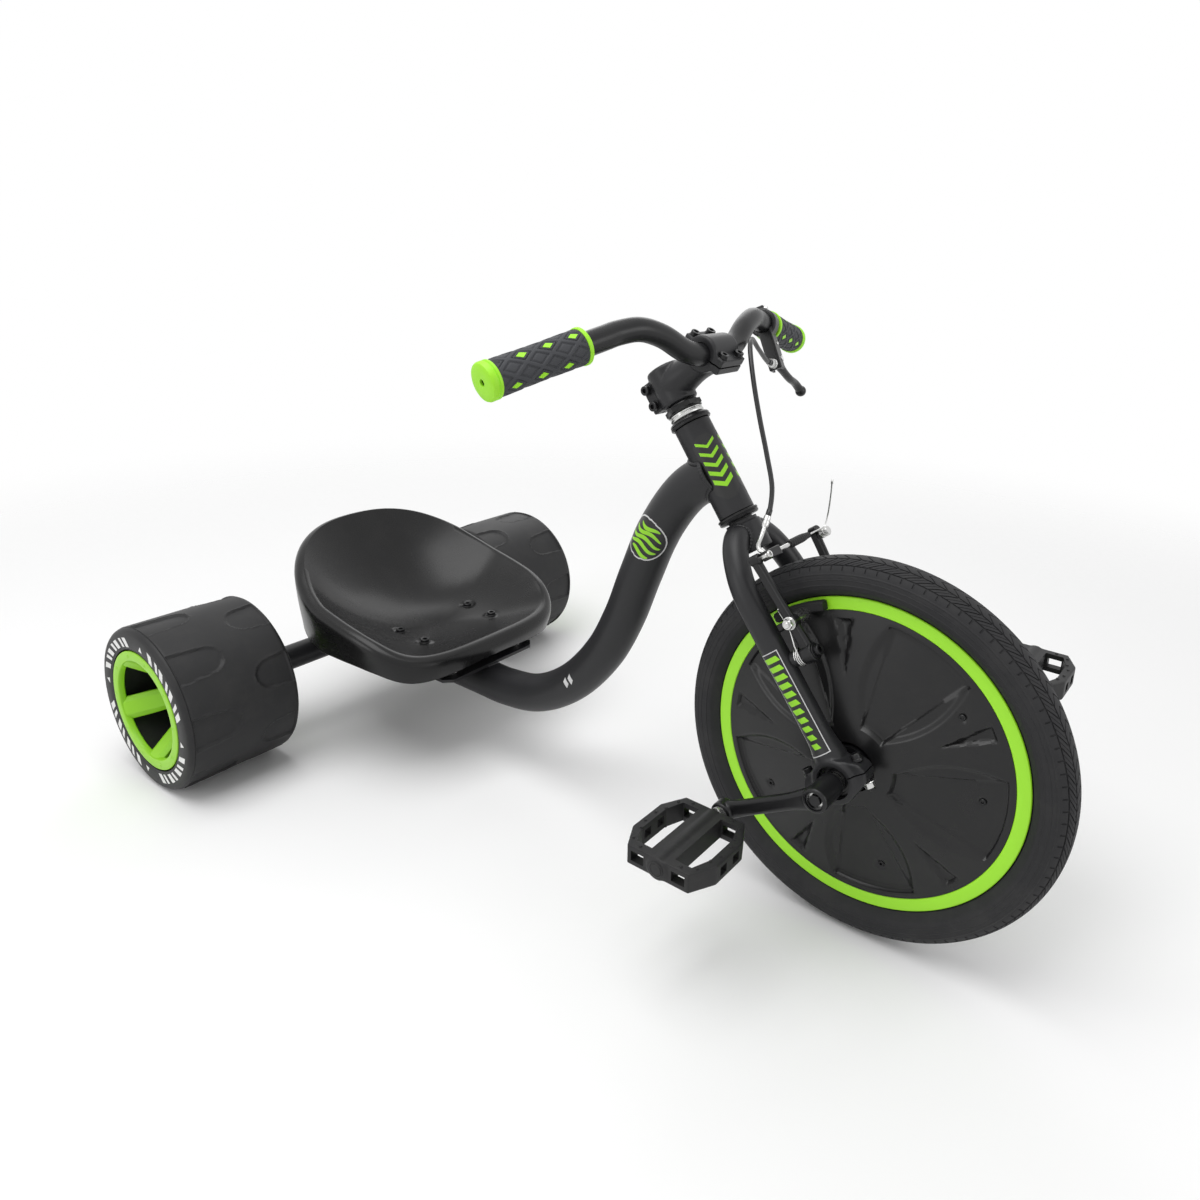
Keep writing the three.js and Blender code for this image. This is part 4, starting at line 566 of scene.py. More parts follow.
def mesh_of(name, shape, frame=None):
    """A mesh in metres from a shape, with its double points joined and its faces facing out."""
    mesh = bpy.data.meshes.new(name)
    mesh.from_pydata([(frame @ Vector(p) if frame else Vector(p)) * MM for p in shape.points], [],
                     shape.faces)
    work = bmesh.new()
    work.from_mesh(mesh)
    bmesh.ops.remove_doubles(work, verts=work.verts, dist=0.000008)
    bmesh.ops.recalc_face_normals(work, faces=work.faces)
    work.to_mesh(mesh)
    work.free()
    return mesh


def make_piece(name, shape, look, body, frame=None, stands_for=(), sharp=32, bevel=0.0):
    """Makes an object of a shape, gives it its finish and body, and hides what it stands for."""
    mesh = mesh_of(name, shape, frame)
    piece = bpy.data.objects.new(name, mesh)
    bpy.context.collection.objects.link(piece)
    return finish_mesh(piece, mesh, look, body, stands_for, sharp, bevel)


def cast_piece(name, shape, look, body, frame=None, stands_for=(), grain=1.0, rounds=6, cutters=(), sharp=40):
    """Fuses overlapping solids into one casting with soft fillets, then bores it with the cutters."""
    mesh = mesh_of(name, shape, frame)
    piece = bpy.data.objects.new(name, mesh)
    bpy.context.collection.objects.link(piece)
    fuse = piece.modifiers.new("fuse", "REMESH")
    fuse.mode = "VOXEL"
    fuse.voxel_size = grain * MM
    ease = piece.modifiers.new("ease", "SMOOTH")
    ease.factor = 0.6
    ease.iterations = rounds
    tools = []
    for i, cutter in enumerate(cutters):
        tool = bpy.data.objects.new(f"{name}_cutter", mesh_of(f"{name}_cutter", cutter, frame))
        bpy.context.collection.objects.link(tool)
        bore = piece.modifiers.new(f"bore {i}", "BOOLEAN")
        bore.operation = "DIFFERENCE"
        bore.solver = "EXACT"
        bore.object = tool
        tools.append(tool)
    graph = bpy.context.evaluated_depsgraph_get()
    done = bpy.data.meshes.new_from_object(piece.evaluated_get(graph))
    piece.modifiers.clear()
    piece.data = done
    done.name = name
    for tool in tools:
        bpy.data.objects.remove(tool)
    return finish_mesh(piece, done, look, body, stands_for, sharp, 0)


def dress(node, look, bevel=0.0, sharp=30):
    """Gives a CAD node that stays in view its finish and soft edges."""
    piece = NODES[node]
    piece.data.materials.clear()
    piece.data.materials.append(FINISHES[look])
    if bevel:
        soften(piece, bevel, sharp)




def meet(start, direction, axis_point, axis, radius):
    """Where a line first meets a round tube, or its nearest place to that tube."""
    flat = lambda v: v - axis * v.dot(axis)
    o, d = flat(start - axis_point), flat(direction)
    a, b = d.dot(d), o.dot(d)
    inside = b * b - a * (o.dot(o) - radius * radius)
    return start + direction * ((-b - math.sqrt(max(0, inside))) / a)


def bead(shape, path, width, closed=True, pitch=3.2):
    """Adds a weld bead with its ripples along a path."""
    path = [Vector(p) for p in path]
    count = len(path)
    centre = sum(path, Vector()) / count
    rows = []
    travelled = 0
    for i, point in enumerate(path):
        after = path[(i + 1) % count] if closed or i < count - 1 else point
        before = path[i - 1] if closed or i else point
        ahead = (after - before).normalized()
        side = point - centre
        side = (side - ahead * side.dot(ahead)).normalized() if side.length > 0.01 else Vector((0, 0, 1))
        over = ahead.cross(side)
        travelled += (after - point).length
        size = width * (0.86 + 0.2 * abs(math.sin(math.pi * travelled / pitch)))
        rows.append([point + side * (size * math.cos(TAU * k / 8)) + over * (size * math.sin(TAU * k / 8))
                     for k in range(8)])
    shape.grid(rows, wrap_rows=closed)
    if not closed:
        shape.cap(rows[0]).cap(rows[-1])
    return shape


def junction(start, direction, radius, axis_point, axis, target, count=150):
    """The line along which one tube's wall runs into another tube."""
    frame = along(start, Vector(start) + Vector(direction))
    across, over = frame.col[0].xyz, frame.col[1].xyz
    result = []
    for i in range(count):
        turn = TAU * i / count
        side = across * (radius * math.cos(turn)) + over * (radius * math.sin(turn))
        result.append(meet(Vector(start) + side, Vector(direction), Vector(axis_point), Vector(axis), target))
    return result


# A decal is a set of patches; each is a row of left and right edges, laid on a surface by place_point.

def patches(rows_of_patches, place_point, columns=10):
    shape = Shape()
    for rows in rows_of_patches:
        grid = []
        for v, left, right in rows:
            grid.append([place_point(left + (right - left) * k / columns, v) for k in range(columns + 1)])
        shape.grid(grid, wrap_points=False)
    return shape


def strip(low, high, left, right, steps=14):
    """A patch from one height to another, its two edges given as functions of the height."""
    rows = []
    for k in range(steps + 1):
        v = low + (high - low) * k / steps
        rows.append((v, left(v), right(v)))
    return rows


def chevron(middle, half, drop, band):
    """Two slanted bands that meet in a point."""
    spine = [(half * k / 8, middle + drop * k / 8) for k in range(9)]
    return [(side, spine, band) for side in (-1, 1)]


def laid_bands(bands, place_point):
    """Chevron bands laid on a surface, each as a grid from its inner to its outer end."""
    shape = Shape()
    for side, spine, band in bands:
        rows = [[place_point(side * u, v + band * k / 4) for k in range(5)] for u, v in spine]
        shape.grid(rows, wrap_points=False)
    return shape


def decal_piece(name, shape, look, body, frame):
    return make_piece(name, shape, look, body, frame, sharp=80)


# Frame

HEAD_JOIN = FORK @ Vector((STEER_X, 0, 307)) - Vector((REAR_X, 0, 0))
TUBE_LEVEL = 100
TUBE_RADIUS = 23.6
TUBE_SHARES = ((0, 0), (0.2, 0), (0.4, 0), (0.48, 0), (0.573, 0.028), (0.671, 0.128), (0.756, 0.29),
               (0.806, 0.449), (0.843, 0.614), (0.887, 0.79), (0.943, 0.927), (1, 1))
HEAD_LOW, HEAD_HIGH, HEAD_RADIUS = 261, 361, 19
AXLE_HALF, AXLE_TUBE_RADIUS = 176, 16.9


def main_tube_path(per=8):
    rise = HEAD_JOIN.z - TUBE_LEVEL
    return rounded([(HEAD_JOIN.x * f, 0, TUBE_LEVEL + rise * u) for f, u in TUBE_SHARES], per)


def build_tubes():
    path = main_tube_path()
    tube = Shape().tube(path, TUBE_RADIUS, 56, hint=(0, 1, 0))
    make_piece("main_tube_shell", tube, "frame_paint", "chassis", CHASSIS, ("main_tube",))
    head = Shape().lathe([(16.3, HEAD_LOW), (18.4, HEAD_LOW), (19, HEAD_LOW + 0.7), (19, HEAD_HIGH - 0.7),
                          (18.4, HEAD_HIGH), (16.3, HEAD_HIGH)], 64)
    make_piece("head_tube_shell", head, "frame_paint", "chassis", HEAD, ("head_tube",))
    axle = Shape()
    turn = Matrix.Rotation(math.radians(90), 4, "X")
    bore = 6.4
    axle.lathe([(bore, -AXLE_HALF), (15.6, -AXLE_HALF), (16.9, -AXLE_HALF + 1.2), (16.9, -AXLE_HALF + 9),
                (16.4, -AXLE_HALF + 9.6), (16.4, AXLE_HALF - 9.6), (16.9, AXLE_HALF - 9),
                (16.9, AXLE_HALF - 1.2), (15.6, AXLE_HALF), (bore, AXLE_HALF)], 56, turn)
    make_piece("axle_tube_shell", axle, "frame_paint", "chassis", REAR_AXLE, ("rear_axle_tube",))

    welds = Shape()
    up = TILT_U
    join = HEAD_JOIN
    back = (path[-1] - path[-5]).normalized()
    welds_path = junction(join - 60 * back, back, TUBE_RADIUS, join, up, HEAD_RADIUS)
    bead(welds, welds_path, 2.3)
    bead(welds, junction(Vector((60, 0, TUBE_LEVEL)), Vector((-1, 0, 0)), TUBE_RADIUS, Vector((0, 0, REAR_Z)),
                         Vector((0, 1, 0)), AXLE_TUBE_RADIUS), 2.4)
    plate_low = TUBE_LEVEL + TUBE_RADIUS
    for sign in (-1, 1):
        side = [Vector((122 + 131 * k / 60, sign * 7.5, plate_low - 0.6)) for k in range(61)]
        bead(welds, side, 2.0, closed=False)
    nose = [Vector((252.5 + 1.5 * math.cos(math.radians(a)), 8 * math.sin(math.radians(a)), plate_low - 0.2))
            for a in range(-90, 91, 6)]
    bead(welds, nose, 2.1, closed=False)
    make_piece("frame_welds", welds, "frame_paint", "chassis", CHASSIS, sharp=60)

    dress("seat_bracket", "frame_paint", 0.7)
    bolts = Shape()
    for sign in (-1, 1):
        bolts.lathe(ring(1.2, 7, 0, 1.2), 40, moved(236, 54 * sign, 127.3))
        bolts.add(hexagon_head(5.6, 4), moved(236, 54 * sign, 128.5))
        bolts.add(hexagon_head(6, 4.4), moved(236, 54 * sign, 118.8))
        bolts.lathe(disc(2.9, 115.5, 119), 24, moved(236, 54 * sign, 0))
    make_piece("bracket_bolts", bolts, "bright_steel", "chassis", CHASSIS)


def walk(path):
    """Gives the place and the direction at a length along a path."""
    lengths = [0.0]
    for p, q in zip(path, path[1:]):
        lengths.append(lengths[-1] + (q - p).length)

    def at_length(v):
        at = next(i for i in range(1, len(lengths)) if lengths[i] >= v or i == len(lengths) - 1)
        share = (v - lengths[at - 1]) / (lengths[at] - lengths[at - 1])
        return path[at - 1].lerp(path[at], share), (path[at] - path[at - 1]).normalized()

    return at_length


def on_tube(path, lift):
    """Lays decal points on the main tube: u round it from its right side, v along it."""
    at_length = walk(path)

    def place_point(u, v):
        p, ahead = at_length(v)
        out = Vector((0, -1, 0))
        over = ahead.cross(out)
        turn = u / TUBE_RADIUS
        return p + (out * math.cos(turn) - over * math.sin(turn)) * (TUBE_RADIUS + lift)

    return place_point


def build_decals():
    """Plain shapes in the colours and places of the printed stickers."""
    # A long hexagon with chevrons on each side of the head tube.
    for side, sign in SIDES:
        def on_head(u, v, lift, sign=sign):
            turn = math.radians(44) * sign + u * sign / HEAD_RADIUS
            reach = HEAD_RADIUS + lift
            return polar(reach, turn, v)

        low, high, half = 276, 345, 14.5
        taper = lambda v: half * min(1, 0.35 + (v - low) / 14, 0.35 + (high - v) / 14)
        plate = patches([strip(low, high, lambda v: -taper(v), taper, 40)], lambda u, v: on_head(u, v, 0.12),
                        14)
        decal_piece(f"head_decal_base_{side}", plate, "dark_print", "chassis", HEAD)
        marks = Shape()
        for i in range(5):
            bands = chevron(288 + 10.5 * i, 10.5, 6.5, 5.2 - 0.5 * i)
            marks.add(laid_bands(bands, lambda u, v: on_head(u, v, 0.2)))
        decal_piece(f"head_decal_marks_{side}", marks, "lime_print", "chassis", HEAD)

    # A rounded shield on the right and left of the upper bend.
    path = main_tube_path(8)
    total = sum((q - p).length for p, q in zip(path, path[1:]))
    middle = total - 108
    for side, sign in SIDES:
        flip = Matrix.Diagonal((1, -sign, 1, 1))
        layers = (("rim", 25, 0.10, "pale_print"), ("field", 23.4, 0.17, "dark_print"))
        for label, radius, lift, look in layers:
            place_point = on_tube(path, lift)
            width = lambda v, r=radius: math.sqrt(max(0.01, r * r - (v - middle) ** 2)) * 1.05
            shield = patches([strip(middle - radius + 0.2, middle + radius - 0.2, lambda v: -width(v), width,
                                    30)], place_point, 16)
            decal_piece(f"bend_decal_{label}_{side}", shield, look, "chassis", CHASSIS @ flip)
        place_point = on_tube(path, 0.24)
        waves = Shape()
        for i, (start, reach) in enumerate(((-17, 12), (-9, 18.5), (-1, 21), (7, 19), (14.5, 13))):
            rows = []
            for k in range(25):
                u = -reach + 2 * reach * k / 24
                swing = 2.6 * math.sin(u / 5.2 + i * 0.9)
                thick = 2.3 * math.sqrt(max(0, 1 - (u / reach) ** 2)) + 0.15
                rows.append([place_point(u, middle + start + swing + thick * (m / 3 - 1)) for m in range(7)])
            waves.grid(rows, wrap_points=False)
        decal_piece(f"bend_decal_waves_{side}", waves, "lime_print", "chassis", CHASSIS @ flip)
        # Two short slanted bars on the lower bend.
        bars = Shape()
        start = total * 0.545
        for shift in (0, 9.5):
            rows = [(start + shift + 6.2 * k / 6, -4.5 + 3 * k / 6, 4.5 + 3 * k / 6) for k in range(7)]
            bars.add(patches([rows], place_point, 6))
        decal_piece(f"bend_bars_{side}", bars, "pale_print", "chassis", CHASSIS @ flip)

    # A long panel of slanted bars on the outside of each fork leg.
    for side, sign in SIDES:
        leg = leg_path(sign)
        leg = [p for p in leg if 14 < p.z < 140]
        at_length = walk(leg)

        def on_leg(u, v, lift, at_length=at_length, sign=sign):
            p, ahead = at_length(v)
            out = Vector((0, sign, 0))
            out = (out - ahead * out.dot(ahead)).normalized()
            over = ahead.cross(out) * sign
            turn = u / LEG_RADIUS
            reach = LEG_RADIUS + 0.3 * smooth_step(57, 51, p.z) + 3.3 * smooth_step(40, 16, p.z) + lift
            return p + (out * math.cos(turn) + over * math.sin(turn)) * reach

        long = 103
        for label, grow, lift, look in (("rim", 0, 0.10, "pale_print"), ("field", 0.9, 0.16, "dark_print")):
            panel = patches([strip(6 + grow, 6 + long - grow, lambda v: -8.6 + grow, lambda v: 10.4 - grow,
                                   40)], lambda u, v: on_leg(u, v, lift), 12)
            decal_piece(f"leg_decal_{label}_{side}", panel, look, "fork", FORK)
        marks = Shape()
        for i in range(11):
            high = 8.0 - 0.42 * i
            v = 10.5 + 8.7 * i
            rows = [(v + 5.2 * k / 6, -high + 2.2 * k / 6, high - 1.2 + 2.2 * k / 6) for k in range(7)]
            marks.add(patches([rows], lambda u, v: on_leg(u, v, 0.22), 8))
        decal_piece(f"leg_decal_marks_{side}", marks, "lime_print", "fork", FORK)


# Seat

SEAT_CREST = ((0, 1), (0.087, 0.9), (0.248, 0.68), (0.338, 0.55), (0.451, 0.43), (0.584, 0.358),
              (0.717, 0.285), (0.818, 0.2), (0.888, 0.1), (0.937, 0.03), (1, 0))
SEAT_BOLTS = ((142, -56.8), (142, 56.8), (190, -56.8), (190, 56.8))
SEAT_ROLL, SEAT_SHELL = 13, 5
PAN_X, PAN_Z, SEAT_MIDDLE = 152, 153, 113


def crest_share(place_along):
    """Smooth height of the seat's crest, eased through the same places as the solid's."""
    total = 0
    weight = 0
    for step in range(-4, 5):
        at = min(1, max(0, place_along + step * 0.012))
        for (p0, h0), (p1, h1) in zip(SEAT_CREST, SEAT_CREST[1:]):
            if at <= p1:
                total += (5 - abs(step)) * (h0 + (h1 - h0) * (at - p0) / (p1 - p0))
                break
        weight += 5 - abs(step)
    return total / weight


def seat_crest(angle, outward, down):
    c, s = math.cos(angle), math.sin(angle)
    power = 2.2 + 1.4 * smooth_step(-0.15, 0.15, c)
    reach = (abs(c) ** power + abs(s) ** power) ** (-1 / power)
    across = 1 - 0.06 * abs(c) if c < 0 else 1
    rise = 165 + 106 * crest_share((reach * c + 1) / 2)
    return Vector((SEAT_MIDDLE + (138 * reach + outward) * c, (142 * reach * across + outward) * s,
                   rise - down))


def seat_dish(angle, share, sink, dimple=0.0):
    crest = seat_crest(angle, 0, 0)
    point = Vector((PAN_X + (crest.x - PAN_X) * share, crest.y * share,
                    PAN_Z + (crest.z - PAN_Z) * share ** 2.6 - sink))
    if dimple:
        for x, y in SEAT_BOLTS:
            away = math.hypot(point.x - x, point.y - y)
            if away < dimple * 1.3:
                floor = 156.6
                point.z += (floor - point.z) * (1 - smooth_step(dimple * 0.72, dimple * 1.1, away))
    return point


def skirt_depth(angle):
    return 57 * (1 - 0.56 * math.cos(angle))


def build_seat(mouldings):
    steps = 264
    dimple = mouldings.dimple / MM
    angles = [TAU * (i + 0.5) / steps for i in range(steps)]
    shares = [0.02, 0.06, 0.1, 0.15, 0.2, 0.24] + [0.27 + 0.0115 * k for k in range(34)]
    shares += [0.68, 0.72, 0.76, 0.8, 0.84, 0.88, 0.91, 0.94, 0.97, 1]
    rows = [[seat_dish(a, share, 0, dimple) for a in angles] for share in shares]
    for turn in (15, 30, 45, 60, 75, 90):
        t = math.radians(turn)
        rows.append([seat_crest(a, SEAT_ROLL * math.sin(t), SEAT_ROLL * 0.95 * (1 - math.cos(t)))
                     for a in angles])
    start = SEAT_ROLL
    for k in range(1, 10):
        share = k / 9
        rows.append([seat_crest(a, SEAT_ROLL - 5 * share ** 1.5, start + (skirt_depth(a) - start) * share)
                     for a in angles])
    # A rolled hem closes the lower edge.
    for out, down in ((8.3, 1.2), (7.3, 2.0), (5.6, 2.0), (4.4, 1.2), (4.2, 0)):
        rows.append([seat_crest(a, out, skirt_depth(a) + down - 1.6) for a in angles])
    for k in range(8, -1, -2):
        share = k / 9
        rows.append([seat_crest(a, SEAT_ROLL - 3.6 - 5 * share ** 1.5,
                                start + (skirt_depth(a) - start) * share) for a in angles])
    rows.append([seat_crest(a, 3, 8) for a in angles])
    for share in (0.95, 0.8, 0.6, 0.3, 0.02):
        rows.append([seat_dish(a, share, SEAT_SHELL) for a in angles])
    shape = Shape().grid(rows).cap(rows[0]).cap(rows[-1])
    for x, y in SEAT_BOLTS:
        shape.lathe(ring(3.6, 10, 149.9, 155), 40, moved(x, y, 0))
    make_piece("seat_moulding", shape, "seat_shell", "chassis", CHASSIS, ("seat", "seat_skirt"), sharp=55)
    bolts = Shape()
    for x, y in SEAT_BOLTS:
        bolts.lathe(ring(3.3, 6.9, 156.5, 157.5), 40, moved(x, y, 0))
        bolts.add(socket_head(5.6, 3.4), moved(x, y, 157.5))
        bolts.lathe(disc(3.1, 129.5, 157), 24, moved(x, y, 0))
        bolts.add(hexagon_head(5.6, 4), moved(x, y, 140))
    make_piece("seat_bolts", bolts, "black_metal", "chassis", CHASSIS,
               tuple(f"seat_bolt_{i}" for i in (1, 2, 3, 4)))


# Rear wheels

WHEEL_IN, WHEEL_OUT, SLICK_RADIUS = 179, 318.5, 102.4
HUB_RADIUS = 74.2


def recess_depth(angle, y, count):
    """How far inside a bullet-shaped recess a place on the slick tyre is, in millimetres from its edge."""
    best = -9
    for outside, lead, length in ((True, 0, 64), (False, 0.5, 50)):
        near = ((angle / TAU * count + lead + 0.5) % 1) - 0.5
        across = abs(near) * TAU / count * SLICK_RADIUS
        inward = (WHEEL_OUT - y) if outside else (y - WHEEL_IN)
        half = 21 - 5 * inward / length
        end = length - half
        edge = half - across if inward < end else half - math.hypot(across, inward - end)
        best = max(best, edge)
    return best


def slick_tyre(sign, tyres):
    """The wide hard tyre, with shallow bullet-shaped recesses from both edges in turn."""
    radius = SLICK_RADIUS
    depth = tyres.recess / MM
    steps = 420
    spread = [WHEEL_IN + 8 + (WHEEL_OUT - WHEEL_IN - 16.5) * k / 60 for k in range(61)]
    rows = []
    for i in range(steps):
        angle = TAU * i / steps
        row = [(76.5, WHEEL_IN + 3), (76.5, WHEEL_IN), (88, WHEEL_IN), (93.5, WHEEL_IN),
               (95.5, WHEEL_IN + 0.8)]
        row += [(radius - 4.6, WHEEL_IN + 1.8), (radius - 1.6, WHEEL_IN + 4), (radius - 0.4, WHEEL_IN + 6)]
        for y in spread:
            edge = recess_depth(angle, y, tyres.recesses)
            # A narrow raised border runs round each recess.
            border = 0.5 * smooth_step(-2.2, -1.2, edge) * (1 - smooth_step(-0.4, 0.2, edge))
            row.append((radius - depth * smooth_step(-0.1, 1.9, edge) + border, y))
        row += [(radius - 0.3, WHEEL_OUT - 7.4), (radius - 1.2, WHEEL_OUT - 6.8),
                (radius - 0.9, WHEEL_OUT - 6), (radius - 1.6, WHEEL_OUT - 3.8),
                (radius - 3.8, WHEEL_OUT - 1.4), (radius - 7, WHEEL_OUT)]
        row += [(80, WHEEL_OUT), (78.4, WHEEL_OUT - 0.7), (76.6, WHEEL_OUT - 0.7), (76.5, WHEEL_OUT - 4)]
        rows.append([rolled(r, angle, y * sign) for r, y in row])
    return Shape().grid(rows, wrap_rows=True)


def hub_spoke():
    """One tongue-shaped spoke along +X, from the lip down to the boss, with its raised middle."""
    rows = []
    along_steps = 26
    for k in range(along_steps + 1):
        r = 66 - 49 * k / along_steps
        top = 317.2 - max(0, 62.2 - r) * 1.19
        half = 14.2 - 1.6 * smooth_step(50, 20, r)
        row = []
        for m in range(-9, 10):
            share = m / 9
            across = half * share
            if r > 32:
                inside = 9.6 - abs(across)
            else:
                inside = 9.6 - math.hypot(across, 32 - r)
            pad = 3.0 * smooth_step(-1.2, 1.4, inside) * smooth_step(66, 61, r)
            edge = 2.6 * smooth_step(0.84, 1.0, abs(share))
            row.append(Vector((r, across, top + pad - 3.0 - edge)))
        depth = 11 if r > 30 else 9
        row += [Vector((r, half, top - depth)), Vector((r, half - 3, top - depth - 1.5)),
                Vector((r, 3 - half, top - depth - 1.5)), Vector((r, -half, top - depth))]
        rows.append(row)
    return Shape().grid(rows).cap(rows[0]).cap(rows[-1])


def rear_hub():
    """The moulded hub: lip, sleeve, five spokes and the boss round the bearing; Z points outwards."""
    shape = Shape()
    shape.lathe([(70.2, WHEEL_IN + 0.6), (73.6, WHEEL_IN), (HUB_RADIUS, WHEEL_IN + 0.6), (HUB_RADIUS, 316.5),
                 (74.6, 317.3), (74.2, 318.2), (72.8, 318.6), (64.5, 318.6), (62.8, 318.0), (62.0, 316.6),
                 (61.9, 311.5), (63.2, 310.2), (70.2, 308.8)], 160)
    shape.lathe([(14.4, 256), (19.2, 256), (20, 257), (20, 265.4), (19.2, 266.4), (15.4, 266.4),
                 (14.4, 265.4)], 80)
    shape.lathe([(14.4, 187), (20, 185), (20, 257), (14.4, 257)], 64)
    for i in range(5):
        turn = Matrix.Rotation(math.radians((i + 0.75) * 72), 4, "Z")
        shape.add(hub_spoke(), turn)
        for lean in (-19, 19):
            spot = Matrix.Rotation(math.radians((i + 0.75) * 72 + lean), 4, "Z") @ moved(68, 0, 318.5)
            shape.lathe(ring(1.6, 2.2, 0, 0.3, 0.1), 20, spot)
    return shape


def face_dashes():
    """Slanted dashes and small triangles printed round the tyre's outer face; Z points outwards."""
    shape = Shape()
    z = WHEEL_OUT + 0.12
    for group in range(4):
        for i in range(7):
            start = group * 90 + 9 + i * 8.6
            width = 5.6 if i % 2 == 0 else 3.6
            rows = []
            for k in range(7):
                r = 80 + 11.5 * k / 6
                lean = 4.2 * k / 6
                rows.append([polar(r, math.radians(start + lean + width * m / 4), z) for m in range(5)])
            shape.grid(rows, wrap_points=False)
        centre = group * 90 + 80
        rows = []
        for k in range(5):
            r = 82 + 7 * k / 4
            half = 2.6 * (1 - k / 4) + 0.05
            rows.append([polar(r, math.radians(centre + half * m), z) for m in (-1, 0, 1)])
        shape.grid(rows, wrap_points=False)
    return shape


def build_rear_wheels(tyres):
    for side, sign in SIDES:
        body = f"rear_wheel_{side}"
        outward = frame_matrix((0, 0, 0), (1, 0, 0), (0, 0, -sign), (0, sign, 0))
        place_at = REAR_AXLE @ outward
        make_piece(f"slick_tyre_{side}", slick_tyre(sign, tyres), "rear_tread", body, REAR_AXLE,
                   (f"rear_tyre_{side}",), sharp=38)
        make_piece(f"hub_moulding_{side}", rear_hub(), "lime_plastic", body, place_at, (f"rear_hub_{side}",),
                   sharp=40)
        # Painted shade: a thin dark lining inside the lime sleeve and a dark disc across the hub's hollow
        # darken the hub's interior.
        inner = Shape().lathe(oblong(69.8, 70.1, 182, 308), 96)
        inner.lathe(oblong(20.2, 69.9, 246, 248), 64)
        make_piece(f"hub_liner_{side}", inner, "rear_tread", body, place_at)
        make_piece(f"face_dashes_{side}", face_dashes(), "white_print", body, place_at, sharp=80)
        bearing = Shape().lathe(ring(11.4, 14, 256.3, 266.1), 64)
        bearing.lathe(ring(6.4, 8.8, 256.3, 266.1), 64)
        bearing.lathe([(8.6, 265), (11.6, 265), (11.6, 265.6), (10, 265.9), (8.6, 265.6)], 64)
        make_piece(f"wheel_bearing_{side}", bearing, "bright_steel", body, place_at,
                   (f"rear_bearing_{side}",))
        nut = Shape().add(hexagon_head(10.8, 6.4), moved(z=267))
        nut.lathe([(6.2, 273.2), (8.8, 273.2), (8.6, 275), (7.6, 275.8), (6.2, 275.8)], 48)
        nut.lathe(ring(6.3, 9.6, 266.6, 267.2, 0.1), 48)
        make_piece(f"axle_nut_{side}", nut, "bright_steel", "chassis", place_at, (f"rear_axle_nut_{side}",))
    thread = [(CORE, 0)]
    for k in range(9):
        thread += [(5.5, 1.0 + 1.2 * k), (5.95, 1.6 + 1.2 * k)]
    thread += [(5.9, 13), (5.9, 60)]
    axle = Shape()
    for sign in (-1, 1):
        end = frame_matrix((0, sign * 279.6, 0), (1, 0, 0), (0, 0, sign), (0, -sign, 0))
        axle.lathe(thread, 40, end, closed=False)
    axle.lathe([(5.9, -221), (5.9, 221)], 40, Matrix.Rotation(math.radians(90), 4, "X"), closed=False)
    make_piece("rear_axle_bar", axle, "bright_steel", "chassis", REAR_AXLE, ("rear_axle",))


# Fork and headset

LEG_RADIUS = 12.7
CROWN_RADIUS, CROWN_LOW, CROWN_HIGH = 18.5, 220, 249.5
LEG_PATH = ((-1, 0.17, 0.965), (-1, 0.34, 0.954), (-1, 0.53, 0.914), (-1, 0.7, 0.845), (-1, 0.81, 0.762),
            (-0.8, 0.86, 0.6), (-0.4, 0.9, 0.34), (0, 0.935, 0.07))
CLAMP_BOLT_X, CLAMP_Y = 28, 58
PIVOT_Y, PIVOT_Z, ARM_X = 46, 113, 27


def leg_path(sign, per=8):
    return rounded([(8 * x, 58 * y * sign, 249.5 * z) for x, y, z in LEG_PATH], per)


def eye_outline(radius, ear_x, ear_radius):
    """The outline of a round eye drawn out to a rounded ear on each side."""
    lean = math.acos((radius - ear_radius) / ear_x)
    points = []
    for middle, size, low, high in ((ear_x, ear_radius, -lean, lean), (0, radius, lean, math.pi - lean),
                                    (-ear_x, ear_radius, math.pi - lean, math.pi + lean),
                                    (0, radius, math.pi + lean, TAU - lean)):
        for k in range(17):
            angle = low + (high - low) * k / 16
            points.append((middle + size * math.cos(angle), size * math.sin(angle)))
    return points


def clamp_shape(upper, sign):
    """The fork's clamp eye with its two ears, and on the upper half the foot of the leg."""
    shape = Shape()
    turn = along_y()
    shape.lathe([(CORE, 46), (20.6, 46), (22, 47.4), (22, 68.6), (20.6, 70), (CORE, 70)], 64, turn)
    outline = eye_outline(21.6, 23, 11.6)
    shape.slab(outline, 48.5, 67.5, lambda x, y, z: Vector((x, z, y)))
    if upper:
        foot = [p for p in leg_path(1) if p.z < 52]
        size = [12.9 + 3.4 * smooth_step(40, 16, p.z) for p in foot]
        shape.tube(foot, size, 32)
    return Shape().add(shape, mirrored(sign))


def clamp_cutters(upper, sign):
    cutters = [Shape().lathe(rod(16.3, 38, 78), 48, mirrored(sign) @ along_y())]
    low, high = (-40, 0.6) if upper else (-0.6, 40)
    cutters.append(Shape().slab(oblong(-60, 60, 30, 90), low, high,
                                lambda x, y, z: Vector((x, y * sign, z))))
    return cutters


